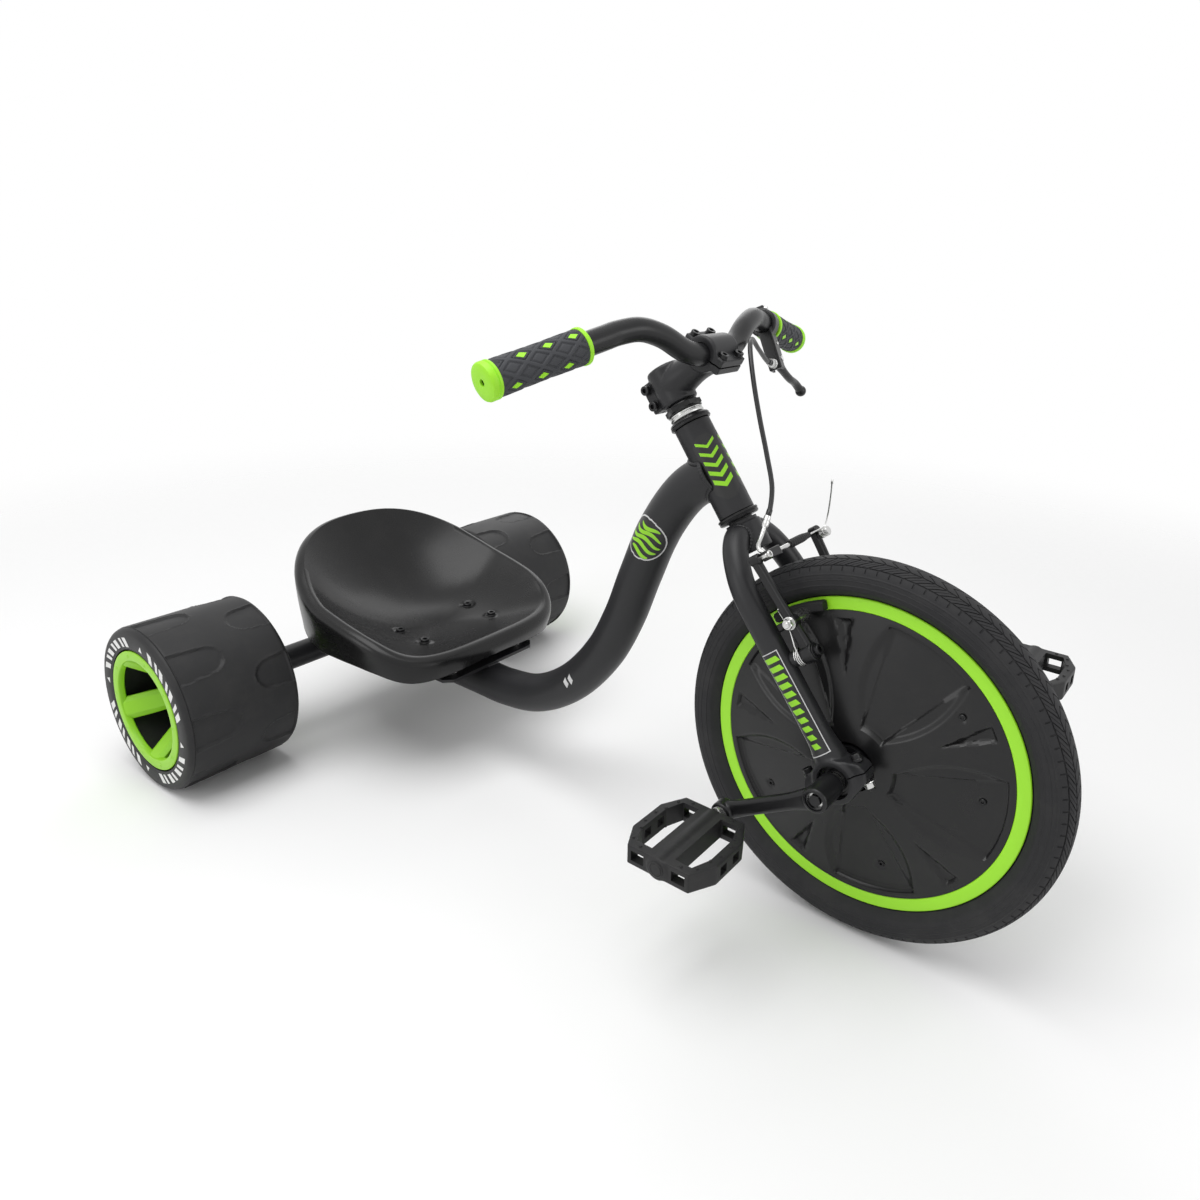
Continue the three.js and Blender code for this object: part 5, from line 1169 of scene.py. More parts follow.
def build_fork():
    crown = Shape().lathe([(10.1, CROWN_LOW), (17.8, CROWN_LOW), (18.5, CROWN_LOW + 0.8),
                           (18.5, CROWN_HIGH - 1.2), (17.4, CROWN_HIGH), (16.5, CROWN_HIGH),
                           (16.5, CROWN_HIGH + 3), (12.7, CROWN_HIGH + 3), (12.7, 424), (10.1, 424)], 72)
    make_piece("fork_crown_turned", crown, "frame_paint", "fork", HEAD, ("fork_crown",))
    welds = Shape()
    for sign in (-1, 1):
        start = leg_path(sign)[13]
        back = leg_path(sign)[2] - leg_path(sign)[11]
        ring_path = junction(start, back.normalized(), LEG_RADIUS, Vector((STEER_X, 0, 0)), Vector((0, 0, 1)),
                             CROWN_RADIUS)
        bead(welds, ring_path, 2.1)
    make_piece("fork_welds", welds, "frame_paint", "fork", FORK, sharp=60)
    for side, sign in SIDES:
        leg = Shape().tube(leg_path(sign), LEG_RADIUS, 40)
        make_piece(f"fork_leg_tube_{side}", leg, "frame_paint", "fork", FORK)
        cast_piece(f"fork_foot_{side}", clamp_shape(True, sign), "frame_paint", "fork", FORK,
                   (f"fork_leg_{side}",), grain=1.1, rounds=5, cutters=clamp_cutters(True, sign))
        cast_piece(f"fork_cap_{side}", clamp_shape(False, sign), "frame_paint", "fork", FORK,
                   (f"fork_clamp_cap_{side}",), grain=1.1, rounds=5, cutters=clamp_cutters(False, sign))
        bolts, nuts = Shape(), Shape()
        for x in (-CLAMP_BOLT_X, CLAMP_BOLT_X):
            spot = moved(x, CLAMP_Y * sign, 0)
            bolts.lathe(disc(5.6, 9.5, 12.4), 40, spot)
            bolts.add(socket_head(4.8, 4.6), spot @ moved(z=12.4))
            bolts.lathe(disc(2.9, -19, 12), 24, spot)
            nuts.add(hexagon_head(5.6, 4.6), spot @ moved(z=-16))
            nuts.lathe(ring(3.2, 6.2, -11.6, -10.4), 40, spot)
        make_piece(f"clamp_bolts_{side}", bolts, "black_metal", "fork", FORK)
        make_piece(f"clamp_nuts_{side}", nuts, "bright_steel", "fork", FORK)
        bearing = Shape().lathe(ring(13.2, 16, 52, 64), 64)
        bearing.lathe(ring(7.9, 10.2, 52, 64), 64)
        bearing.lathe([(10, 62.2), (13.4, 62.2), (13.4, 63), (11.7, 63.4), (10, 63)], 64)
        bearing.lathe(oblong(10, 13.4, 53, 54), 64)
        make_piece(f"spindle_bearing_{side}", bearing, "black_metal", "fork",
                   FORK @ mirrored(sign) @ along_y(), (f"crank_bearing_{side}",))
        post = Shape()
        pivot = along_x(0, PIVOT_Y * sign, PIVOT_Z)
        post.lathe([(CORE, 4), (8.2, 4), (7.6, 10), (7, 12), (7, 20), (6.4, 20.6), (CORE, 20.6)], 40, pivot)
        post.lathe(disc(3.4, 20, 33.2), 24, pivot)
        make_piece(f"brake_post_{side}", post, "frame_paint", "fork", FORK)


def build_headset():
    cup = [(13.3, -9), (15.6, -9), (15.6, 0.3), (20.6, 0.3), (21.5, 1.2), (21.5, 2.6), (20.7, 3.1),
           (20.7, 3.7), (21.3, 4.3), (20.6, 5.8), (19.6, 6.5), (13.3, 6.5)]
    make_piece("headset_cup_upper", Shape().lathe(cup, 72), "black_metal", "chassis",
               HEAD @ moved(z=HEAD_HIGH), ("headset_upper_cup",))
    below = HEAD @ moved(z=HEAD_LOW) @ Matrix.Rotation(math.pi, 4, "X")
    make_piece("headset_cup_lower", Shape().lathe(cup, 72), "black_metal", "chassis", below,
               ("headset_lower_cup",))
    cone = Shape().lathe([(13, 0), (16, 0), (17.4, 1), (18, 2.2), (18, 3.6), (17, 4.2), (17, 5), (17.8, 5.6),
                          (17.8, 6.6), (17.2, 7), (13, 7)], 72)
    make_piece("headset_threaded_cone", cone, "bright_steel", "fork", HEAD @ moved(z=367.9),
               ("headset_cone",))
    nut = Shape().add(hexagon_head(19.6, 6.2), moved(z=1.4))
    nut.lathe(ring(13, 18.6, 0, 1.5, 0.3), 64)
    nut.lathe([(13, 7.2), (16.8, 7.2), (16.4, 8.3), (13, 8.5)], 64)
    make_piece("headset_nut", nut, "black_metal", "fork", HEAD @ moved(z=375.2),
               ("headset_locknut",))


# Stem, bar and grips

CAP_BOLTS = ((-19, -13), (-19, 13), (19, -13), (19, 13))


def build_stem():
    body = Shape()
    body.lathe([(CORE, 385), (17.6, 385), (19, 386.6), (19, 423.2), (17.4, 425), (CORE, 425)], 64,
               moved(STEER_X))
    neck = [Vector((STEER_X + 62 * k / 10, 0, 405 + 2.6 * k / 10)) for k in range(11)]
    body.tube(neck, [18.5, 18.4, 18, 17.2, 16.3, 15.6, 15.4, 15.8, 16.6, 17.2, 17.4], 40, (1.05, 1),
              (0, 0, 1))
    body.slab(oblong(-37, -8, -9.6, 9.6), 388, 420)
    block = Shape()
    block.lathe([(CORE, -21), (16.4, -21), (18, -19.4), (18, 19.4), (16.4, 21), (CORE, 21)], 64, along_y())
    block.slab(oblong(-8, 8, -19.5, 19.5), -24.5, 24.5)
    body.add(block, FORK.inverted() @ BAR_CLAMP)
    local = FORK.inverted() @ BAR_CLAMP
    cutters = [
        Shape().slab(oblong(-0.8, 60, -40, 40), -60, 60,
                     lambda x, y, z: local @ Vector((x, y, z))),
        Shape().lathe(rod(11.4, -40, 40), 48, local @ along_y()),
        Shape().lathe(rod(12.9, 370, 423), 48, moved(STEER_X)),
        Shape().slab(oblong(-60, -14, -1.2, 1.2), 360, 440),
    ]
    cast_piece("stem_forging", body, "frame_paint", "fork", FORK, ("stem",), grain=1.0, rounds=7,
               cutters=cutters)
    cap_cutters = [
        Shape().slab(oblong(-60, 0.8, -40, 40), -60, 60),
        Shape().lathe(rod(11.4, -40, 40), 48, along_y()),
    ]
    cast_piece("stem_cap_forging", block, "frame_paint", "fork", BAR_CLAMP, ("stem_cap",), grain=0.9,
               rounds=5, cutters=cap_cutters)
    bolts = Shape()
    turned = along_x()
    for z, y in CAP_BOLTS:
        at = moved(7.2, y, z) @ turned
        bolts.lathe(ring(3, 5.4, 0, 0.9, 0.2), 36, at)
        bolts.add(socket_head(4.6, 4.4), at @ moved(z=0.9))
        bolts.lathe(disc(2.6, -17, 1), 20, at)
    make_piece("cap_bolts", bolts, "black_metal", "fork", BAR_CLAMP)
    rear = Shape()
    for z in (395.5, 413.5):
        at = against_y(-31, -9.6, z)
        rear.lathe(ring(3, 5.6, -0.4, 0.9, 0.2), 36, at)
        rear.add(socket_head(4.9, 4.6), at @ moved(z=0.9))
        rear.lathe(disc(2.6, -23, 1), 20, at)
    make_piece("stem_bolts", rear, "black_metal", "fork", FORK)
    plug = Shape().lathe([(CORE, 420.5), (3, 420.5), (3.6, 421.4), (9.4, 421.8), (10.2, 421), (10.2, 417),
                          (CORE, 417)], 48)
    make_piece("steerer_plug", plug, "soft_black", "fork", HEAD)


def bar_path():
    half = [(0, 0.16, 0), (0.1, 0.28, 0.2), (0.3, 0.45, 0.74), (0.5, 0.61, 1)]
    left = [Vector((GRIP_START.x * x, GRIP_START.y * y, 26 * z)) for x, y, z in half]
    left += [GRIP_START + 96 * share * GRIP_TILT for share in (-0.42, -0.28, -0.14, 0, 0.5, 1)]
    right = [Vector((p.x, -p.y, p.z)) for p in reversed(left)]
    return rounded(right + [Vector((0, 0, 0))] + left, 7)


GRIP_ROWS, GRIP_TURNS, GRIP_PITCH = 6, 150, 26


def grip_frame(sign):
    first = GRIP_START - 2 * GRIP_TILT
    return BARS @ mirrored(sign) @ along(first, first + 50 * GRIP_TILT)


def grip_cell(angle, z):
    """How near a place on the grip is to the middle of its lattice diamond, and the diamond's column."""
    first = GRIP_ROWS * angle / TAU + z / GRIP_PITCH
    second = GRIP_ROWS * angle / TAU - z / GRIP_PITCH
    near = max(abs(first % 1 - 0.5), abs(second % 1 - 0.5))
    return near, (math.floor(first) + math.floor(second)) % (2 * GRIP_ROWS)


def grip_height(angle, z, relief):
    near, column = grip_cell(angle, z)
    rise = relief * smooth_step(0.365, 0.40, near)
    if column % 3 == 0:
        rise += relief * 0.95 * smooth_step(0.345, 0.315, near) * smooth_step(0.205, 0.235, near)
        rise += 0.1 * smooth_step(0.235, 0.205, near)
    else:
        rise += relief * 0.55 * smooth_step(0.30, 0.25, near)
    ends = smooth_step(4.3, 6.5, z) * smooth_step(90.7, 88.5, z)
    bulge = 14.15 + 0.45 * abs(math.cos(math.pi * (z - 9) / 77)) ** 2
    return bulge + rise * ends + 0.9 * (1 - ends)


def square_edge(half, steps):
    """Points round the edge of a square."""
    corners = ((-half, -half), (half, -half), (half, half), (-half, half))
    points = []
    for (x0, y0), (x1, y1) in zip(corners, corners[1:] + corners[:1]):
        points += [(x0 + (x1 - x0) * k / steps, y0 + (y1 - y0) * k / steps) for k in range(steps)]
    return points


def build_bars(mouldings):
    make_piece("handlebar_tube", Shape().tube(bar_path(), 11, 36, hint=(1, 0, 0)), "black_metal", "fork",
               BARS, ("handlebar",))
    relief = mouldings.strap / MM
    for side, sign in SIDES:
        frame = grip_frame(sign)
        core = Shape().lathe([(11.4, 0.3), (15.8, 0), (16.6, 0.9), (16.6, 3.2), (15.9, 4.1), (13, 4.2),
                              (13, 90.8), (15.9, 91), (16.6, 91.8), (16.6, 93.4), (15.7, 94.2), (15.7, 94.9),
                              (16.6, 95.6), (16.6, 98.6), (15.8, 100.2), (14.4, 101), (8, 101.2), (3.4, 101),
                              (3, 100.6), (3, 98.8), (11.4, 98.8)], 88)
        make_piece(f"grip_rings_{side}", core, "grip_lime", "fork", frame, (f"grip_core_{side}",))
        rows = []
        levels = [4.3 + 86.4 * k / 132 for k in range(133)]
        for z in levels:
            rows.append([polar(grip_height(TAU * i / GRIP_TURNS, z, relief), TAU * i / GRIP_TURNS, z)
                         for i in range(GRIP_TURNS)])
        rows.insert(0, [polar(13.2, TAU * i / GRIP_TURNS, 4.4)
                        for i in range(GRIP_TURNS)])
        rows.append([polar(13.2, TAU * i / GRIP_TURNS, 90.6)
                     for i in range(GRIP_TURNS)])
        make_piece(f"grip_rubber_{side}", Shape().grid(rows), "grip_rubber", "fork", frame,
                   (f"grip_sleeve_{side}",), sharp=50)
        gems = Shape()
        for total in range(0, 2 * GRIP_ROWS, 3):
            for difference in range(0, 8):
                if (total + difference) % 2:
                    continue
                middle = difference / 2 * GRIP_PITCH
                if not 12 < middle < 84:
                    continue
                block = []
                for reach in (14.1, 15.3):
                    row = []
                    for first, second in square_edge(0.2, 4):
                        turn = (total + 1 + first + second) / (2 * GRIP_ROWS) * TAU
                        z = middle + (first - second) / 2 * GRIP_PITCH
                        row.append(polar(reach, turn, z))
                    block.append(row)
                gems.grid(block).cap(block[0]).cap(block[1])
        make_piece(f"grip_squares_{side}", gems, "grip_lime", "fork", frame, sharp=60)


# Brake lever, cable and brake

BARREL_END = Vector((48, 0, -23.6))
LEVER_SHARES = ((0, 0), (0.3, 0.2), (0.6, 0.5), (0.72, 0.78), (1, 1))


def build_lever():
    body = Shape()
    body.lathe([(CORE, -7.5), (14.2, -7.5), (15.5, -6.4), (15.5, 6.4), (14.2, 7.5), (CORE, 7.5)], 56)
    body.slab(oblong(2, 54, -7.3, 7.3), -9, 8.9)
    body.slab(oblong(-19, -8, -6, 6), -6, 6)
    cutters = [
        Shape().lathe(rod(11.3, -30, 30), 48),
        Shape().slab(oblong(34.4, 70, -4.4, 4.4), -5.4, 30),
        Shape().slab(oblong(44, 60, -9, 9), 4.5, 30),
        Shape().slab(oblong(18, 32, 5.4, 12), -5, 5),
    ]
    cast_piece("lever_perch", body, "black_metal", "fork", LEVER, ("lever_bracket",), grain=0.8, rounds=5,
               cutters=cutters)
    metal = Shape()
    pin = along_y(42, 7.2, 2)
    metal.add(socket_head(4.2, 2.4), pin)
    metal.lathe(disc(2.9, -15.6, 0.5), 24, pin)
    clamp = along_y(-15, 5.6, 0)
    metal.add(socket_head(3.6, 3.4), clamp)
    metal.lathe(disc(2.2, -12, 0.4), 20, clamp)
    metal.add(hexagon_head(3.6, 2.6), against_y(-15, -6, 0))
    metal.add(socket_head(1.9, 1.2), against_y(25, -7.2, 2))
    make_piece("lever_screws", metal, "bright_steel", "fork", LEVER)
    barrel = Shape()
    rows = []
    profile = [(1.6, -9.4), (4.6, -9.4), (5.2, -10), (5.2, -13.4), (4.6, -14), (4.0, -14), (4.0, -14.6),
               (4.4, -15), (4.4, -22.4), (3.8, -23.3), (1.6, -23.3)]
    for i in range(96):
        ridge = 0.25 * (i % 4 in (1, 2))
        turn = TAU * i / 96
        rows.append([Vector(((r - (ridge if r > 4.3 else 0)) * math.cos(turn) + 48,
                             (r - (ridge if r > 4.3 else 0)) * math.sin(turn), z)) for r, z in profile])
    barrel.grid(rows, wrap_rows=True)
    make_piece("cable_adjuster", barrel, "bright_steel", "fork", LEVER, ("barrel_adjuster",), sharp=25)

    path = rounded([(42 + 28 * x, 0, 2 + 71 * z) for x, z in LEVER_SHARES], 8)
    blade = Shape()
    count = len(path)
    sizes = [5.6 - 1.6 * smooth_step(0, 0.35, k / count) + 0.5 * smooth_step(0.6, 1,
                                                                             k / count) for k in range(count)]
    blade.tube(path, sizes, 28, (1.0, 1.12), (0, 1, 0))
    ball = [(CORE, -6.3), (2.6, -5.8), (4.8, -4.3), (6.1, -2.2), (6.5, 0), (6.1, 2.2), (4.8, 4.3), (2.6, 5.8),
            (CORE, 6.3)]
    blade.lathe(ball, 40, moved(70, 0, 73))
    blade.lathe(disc(7, -4, 4), 48, along_y(42, 0, 2))
    blade.lathe(disc(2.4, -3.6, 3.6), 24, along_y(48, 0, 4))
    cast_piece("lever_blade", blade, "black_metal", "lever", LEVER, ("brake_lever",), grain=0.75, rounds=4,
               cutters=[Shape().lathe(rod(3.3, -9, 9), 24,
                                      along_y(42, 0, 2))])


NOODLE_ROUTE = ((36, -20, 243), (32, -27, 235.5), (29, -36, 228), (28.5, -45, 222.5), (31, -49.5, 217),
                (34.5, -47.5, 212.3), (36, -41, 210.5), (36, -28, 210.5), (36, -9.3, 210.5))
ARM_SHARES = ((0, 0), (0.2, 0.25), (0.62, 0.6), (1, 1))


def arm_y(z):
    share = (z - PIVOT_Z) / 98
    for (y0, z0), (y1, z1) in zip(ARM_SHARES, ARM_SHARES[1:]):
        if share <= z1:
            return PIVOT_Y + 11 * (y0 + (y1 - y0) * (share - z0) / (z1 - z0))
    return PIVOT_Y + 11


def arm_shape():
    """The left brake arm, from its pivot boss to its top eye."""
    shape = Shape()
    path = rounded([(ARM_X, PIVOT_Y + 11 * y, PIVOT_Z + 98 * z) for y, z in ARM_SHARES], 10)
    rows = []
    for (p, side, over), k in zip(carried(path, (1, 0, 0)), range(len(path))):
        share = k / (len(path) - 1)
        wide = 4.5 - 0.9 * smooth_step(0.1, 0.5, share) + 0.6 * smooth_step(0.85, 1, share)
        deep = 6 - 1.4 * smooth_step(0.05, 0.6, share)
        row = []
        # A ridged section: flat flanks with a narrow crest along the outer face.
        for u, v in ((-1, -0.75), (-0.8, -1), (0.8, -1), (1, -0.75), (1, 0.45), (0.55, 0.62), (0.42, 1),
                     (-0.42, 1), (-0.55, 0.62), (-1, 0.45)):
            row.append(p + side * (wide * u) - over * (deep * v))
        rows.append(row)
    shape.grid(rows).cap(rows[0]).cap(rows[-1])
    pivot = along_x(0, PIVOT_Y, PIVOT_Z)
    shape.lathe([(3.8, 21), (8.2, 21), (9, 21.8), (9, 32.2), (8.2, 33), (3.8, 33)], 48, pivot)
    top = along_x(0, PIVOT_Y + 11, 211)
    shape.lathe(disc(5.2, 21.6, 32.6, edge=1), 40, top)
    stud = along_y(ARM_X, 0, 146)
    middle = arm_y(146)
    shape.lathe(disc(6.6, middle - 4.9, middle + 4.9, edge=0.8), 36, stud)
    return shape


def pad_shape():
    """The left brake shoe: its curved rubber block with grooves in the face."""
    shape = Shape()
    rows = []
    for k in range(41):
        share = k / 40
        turn = math.radians(7.5 + 10.5 * (2 * share - 1))
        groove = 1.4 if any(abs(share - g) < 0.02 for g in (0.25, 0.5, 0.75)) else 0
        end = 1 if 0.01 < share < 0.99 else 0.86
        middle = 152.5
        row = []
        for dr, y in ((-5 * end, 16 + groove), (-4.2 * end, 14.8 + groove), (4.2 * end, 14.8 + groove),
                      (5 * end, 16 + groove), (5 * end, 21.5), (3.4 * end, 24.1), (-3.4 * end, 24.1),
                      (-5 * end, 21.5)):
            r = middle + dr
            row.append(rolled(r, turn, y))
        rows.append(row)
    return shape.grid(rows).cap(rows[0]).cap(rows[-1])


def build_brake():
    for side, sign in SIDES:
        body = f"brake_{side}"
        flip = FORK @ mirrored(sign)
        make_piece(f"caliper_arm_{side}", arm_shape(), "black_metal", body, flip, (f"brake_arm_{side}",),
                   sharp=26, bevel=0.4)
        make_piece(f"brake_shoe_{side}", pad_shape(), "soft_black", body, flip, (f"brake_pad_{side}",),
                   sharp=35)
        stud = along_y(ARM_X, 0, 146)
        reach = arm_y(146) + 4.5
        metal = Shape()
        metal.lathe(disc(3, 19, reach + 8.2), 28, stud)
        metal.lathe(ring(3.1, 6.4, reach + 0.5, reach + 1.6, 0.2), 36, stud)
        metal.add(hexagon_head(5.4, 4.6), stud @ moved(z=reach + 1.6))
        metal.lathe([(3.1, 24), (5.6, 24), (6.6, 26.5), (6.2, reach - 9.5), (3.1, reach - 9.5)], 36, stud)
        make_piece(f"shoe_hardware_{side}", metal, "bright_steel", body, flip)
        pivot = along_x(0, PIVOT_Y, PIVOT_Z)
        cap = Shape().lathe(ring(3.2, 7.4, 33.2, 34.3, 0.2), 40, pivot)
        cap.add(socket_head(5.2, 4.4), pivot @ moved(z=34.3))
        make_piece(f"pivot_bolt_{side}", cap, "black_metal", "fork", flip)
        coil = []
        for k in range(76):
            turn = TAU * k / 25
            coil.append(Vector((13.6 + 2.0 * k / 25, PIVOT_Y + 8.4 * math.cos(turn),
                                PIVOT_Z + 8.4 * math.sin(turn))))
        coil += [Vector((20.1, PIVOT_Y + 8.6, PIVOT_Z + 12)), Vector((20.2, arm_y(140) + 1, 140)),
                 Vector((20.3, arm_y(160) + 1, 160)), Vector((23, arm_y(162) + 3.2, 162))]
        spring = Shape().tube(rounded(coil, 2), 0.75, 8)
        make_piece(f"return_spring_{side}", spring, "bright_steel", body, flip, sharp=60)


def build_cable():
    noodle = Shape().tube(rounded(NOODLE_ROUTE, 7), 2.1, 20)
    top, after = Vector(NOODLE_ROUTE[0]), Vector(NOODLE_ROUTE[1])
    ferrule = along(top + (top - after).normalized() * 0.2, after)
    noodle.lathe([(2.5, 0.2), (3.0, 0), (3.4, 0.5), (3.4, 4.6), (3.1, 5), (3.1, 5.5), (3.4, 6), (3.4, 9.6),
                  (2.4, 12.2), (0.9, 12.2)], 36, ferrule)
    make_piece("noodle_pipe", noodle, "bright_steel", "brake_right", FORK, ("brake_noodle",), sharp=30)
    link = Shape()
    link.slab([(33.4, -56.5), (39.4, -56.5), (39.4, -30), (37.8, -28.2), (35, -28.2), (33.4, -30)], 206, 215)
    make_piece("noodle_link", link, "black_metal", "brake_right", FORK, bevel=1.1)
    pin = Shape().add(socket_head(3.6, 2.2), along_x(39.4, -52, 210.5))
    pin.lathe(disc(2.4, 27, 39.5), 24, along_x(0, -55, 210.5))
    make_piece("link_pin", pin, "bright_steel", "brake_right", FORK)

    profile = [(2.4, -9)]
    for k in range(77):
        y = -9 + 38 * k / 76
        taper = 4.3 - 1.2 * smooth_step(14, 29, y) - 0.7 * smooth_step(-4, -9, y)
        profile.append((taper - 0.4 * (0.5 - 0.5 * math.cos(TAU * (y + 9) / 3.8)), y))
    profile.append((2.4, 29))
    folds = Shape().lathe(profile, 40, moved(36, 0, 210.5) @ along_y())
    boot = make_piece("cable_boot", folds, "soft_black", None, FORK, ("brake_boot",), sharp=60)
    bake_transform(boot)

    tail = [(36, 27, 210.5), (36, 38, 210.5), (36, 52, 210.5), (36, 58, 210.5), (36, 64, 211),
            (42, 68, 218.5), (58, 64, 234.5), (70, 60, 247.5)]
    wire = Shape().tube(rounded(tail, 8), 0.8, 12)
    end = along((67.6, 60.8, 244.9), (70, 60, 247.5))
    wire.lathe(disc(1.2, 0, 5, edge=0.3), 20, end)
    make_piece("cable_wire", wire, "bright_steel", "brake_left", FORK, ("brake_wire",), sharp=60)
    clamp = along_x(0, 58, 206)
    metal = Shape().lathe(ring(2.6, 5.6, 33, 34.8, 0.2), 36, clamp)
    metal.lathe(disc(2.5, 27, 38.5), 24, clamp)
    metal.lathe(ring(2.6, 5.4, 37.1, 38.1, 0.2), 36, clamp)
    metal.add(hexagon_head(5, 4), clamp @ moved(z=38.1))
    make_piece("wire_anchor", metal, "bright_steel", "brake_left", FORK)

    start = FORK.inverted() @ (LEVER @ BARREL_END)
    lead = FORK.inverted() @ (LEVER @ (BARREL_END + Vector((0, 0, -10))))
    up = (top - after).normalized()
    route = [start, lead, (58, 72, 402), (71, 46, 408), (77, 24, 396), (73, 8, 364), (64, 2, 330),
             (54, -1, 295), (46, -6, 266), top + up * 7, top + up * 0.3]
    housing = Shape().tube(rounded(route, 9), 2.4, 24)
    lower = along(top + up * 0.3, top + up * 12)
    housing.lathe(ring(2.4, 2.85, 0, 7, 0.2), 28, lower)
    housing.lathe(ring(2.4, 3.0, 0, 7, 0.2), 28, along(start, lead))
    mesh = mesh_of("cable_housing", housing, FORK)
    piece = bpy.data.objects.new("cable_housing", mesh)
    bpy.context.collection.objects.link(piece)
    finish_mesh(piece, mesh, "cable_jacket", None, ("brake_housing",), 60, 0)
    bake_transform(piece)


# Front wheel

TREAD_GROOVES = (-0.74, -0.34, 0.34, 0.74)
TYRE_MIDDLE, TYRE_RISE, TYRE_HALF, TYRE_POWER = 176.2, 18.8, 21, 2.25
TREAD_EDGE = math.radians(62)


def tyre_point(turn, rise):
    """A place on the tyre's section, a height above its smooth outside: radius and side."""
    c, s = math.cos(turn), math.sin(turn)
    reach = (abs(c) ** TYRE_POWER + abs(s) ** TYRE_POWER) ** (-1 / TYRE_POWER)
    return TYRE_MIDDLE + (TYRE_RISE + rise) * reach * c, (TYRE_HALF + rise) * reach * s


def tread_skew(v):
    """How far the tread's cross grooves lean, in pitches, from crown to shoulder."""
    v = abs(v)
    if v > 0.74:
        return 0
    if v > 0.34:
        return (0.74 - v) / 0.4 * 1.3
    return 1.3 - (0.34 - v) / 0.34 * 0.8


def build_front_tyre(tyres):
    depth = tyres.groove / MM
    values = [k / 30 for k in range(-30, 31) if all(abs(k / 30 - g) > 0.035 for g in TREAD_GROOVES)]
    for g in TREAD_GROOVES:
        values += [g - 0.03, g - 0.018, g + 0.018, g + 0.03]
    values.sort()
    cuts = ((0.0, 1), (0.05, 1), (0.085, 0), (0.46, 0), (0.49, 0.45), (0.51, 0.45), (0.54, 0), (0.915, 0),
            (0.95, 1))
    rows = []
    for i in range(tyres.blocks):
        for share, cut in cuts:
            row = []
            for v in values:
                sunk = 0
                if abs(v) < 0.97:
                    sunk = cut * depth
                    if 0.4 < cut < 0.5:
                        sunk = depth / 2 if 0.34 < abs(v) < 0.74 else 0
                    if any(abs(v - g) < 0.02 for g in TREAD_GROOVES):
                        sunk = depth
                r, y = tyre_point(v * TREAD_EDGE, -sunk)
                angle = TAU * (i + share + tread_skew(v)) / tyres.blocks
                row.append(rolled(r, angle, y))
            rows.append(row)
    shape = Shape().grid(rows, wrap_rows=True, wrap_points=False)
    for sign in (-1, 1):
        wall = []
        for k in range(29):
            turn = TREAD_EDGE + (math.radians(118) - TREAD_EDGE) * k / 28
            lift = 0.4 if k in (4, 5, 12, 20, 21) else 0
            r, y = tyre_point(turn, lift)
            wall.append((r, y * sign, k))
        wall += [(160.5, 12 * sign, 0), (159.6, 9 * sign, 0), (156, 7.6 * sign, 0)]
        rows = []
        for i in range(400):
            angle = TAU * i / 400
            # Short ribs stand on the wall between its two rings.
            rib = 0.3 if i % 4 < 2 and 0.25 < (i % 50) / 50 else 0
            rows.append([rolled(r, angle, y + (rib * sign if 6 < k < 11 else 0))
                         for r, y, k in wall])
        shape.grid(rows, wrap_rows=True, wrap_points=False)
    make_piece("front_tyre_tread", shape, "front_tread", "front_wheel", WHEEL, ("front_tyre",), sharp=24)


COVER_SCREWS = ((119, 50), (118, 90), (110, 162), (114, 234), (114, 306))
PANEL_MIDDLE, PANEL_PITCH, PANEL_HALF = 24, 72, 18


def cover_height(radius, degrees, mouldings):
    """How far out the cover stands at a place on it, with its pressed panels."""
    share = max(0, (radius - 24.5) / 121.5)
    height = 36 - 23.8 * share ** 1.15
    panel, notch_depth = mouldings.panel / MM, mouldings.notch / MM
    sink = 0
    for i in range(5):
        off = (degrees - PANEL_MIDDLE - PANEL_PITCH * i + 180) % 360 - 180
        arc = math.radians(abs(off)) * radius
        wedge = min(math.radians(PANEL_HALF) * radius - arc, radius - 41, 141 - radius)
        sink = max(sink, panel * smooth_step(0, 3.2, wedge))
        for centre in (-PANEL_HALF, PANEL_HALF):
            leaf = math.radians(abs(off - centre)) * radius
            mid = 1 - ((radius - 92) / 48) ** 2
            if mid > 0:
                sink = max(sink, panel * 0.66 * smooth_step(0, 7, 13 * mid - leaf))
        off = (degrees - 60 - PANEL_PITCH * i + 180) % 360 - 180
        arc = math.radians(abs(off)) * radius
        notch = min(1 + 0.16 * (radius - 96) - arc, 138 - radius)
        sink = max(sink, notch_depth * smooth_step(-1, 3, notch))
    for place_r, place_t in COVER_SCREWS:
        away = math.hypot(radius - place_r, math.radians((degrees - place_t + 180) % 360 - 180) * radius)
        sink += 1.6 * (1 - smooth_step(3.2, 5.5, away))
    return height - sink * smooth_step(146, 139, radius)


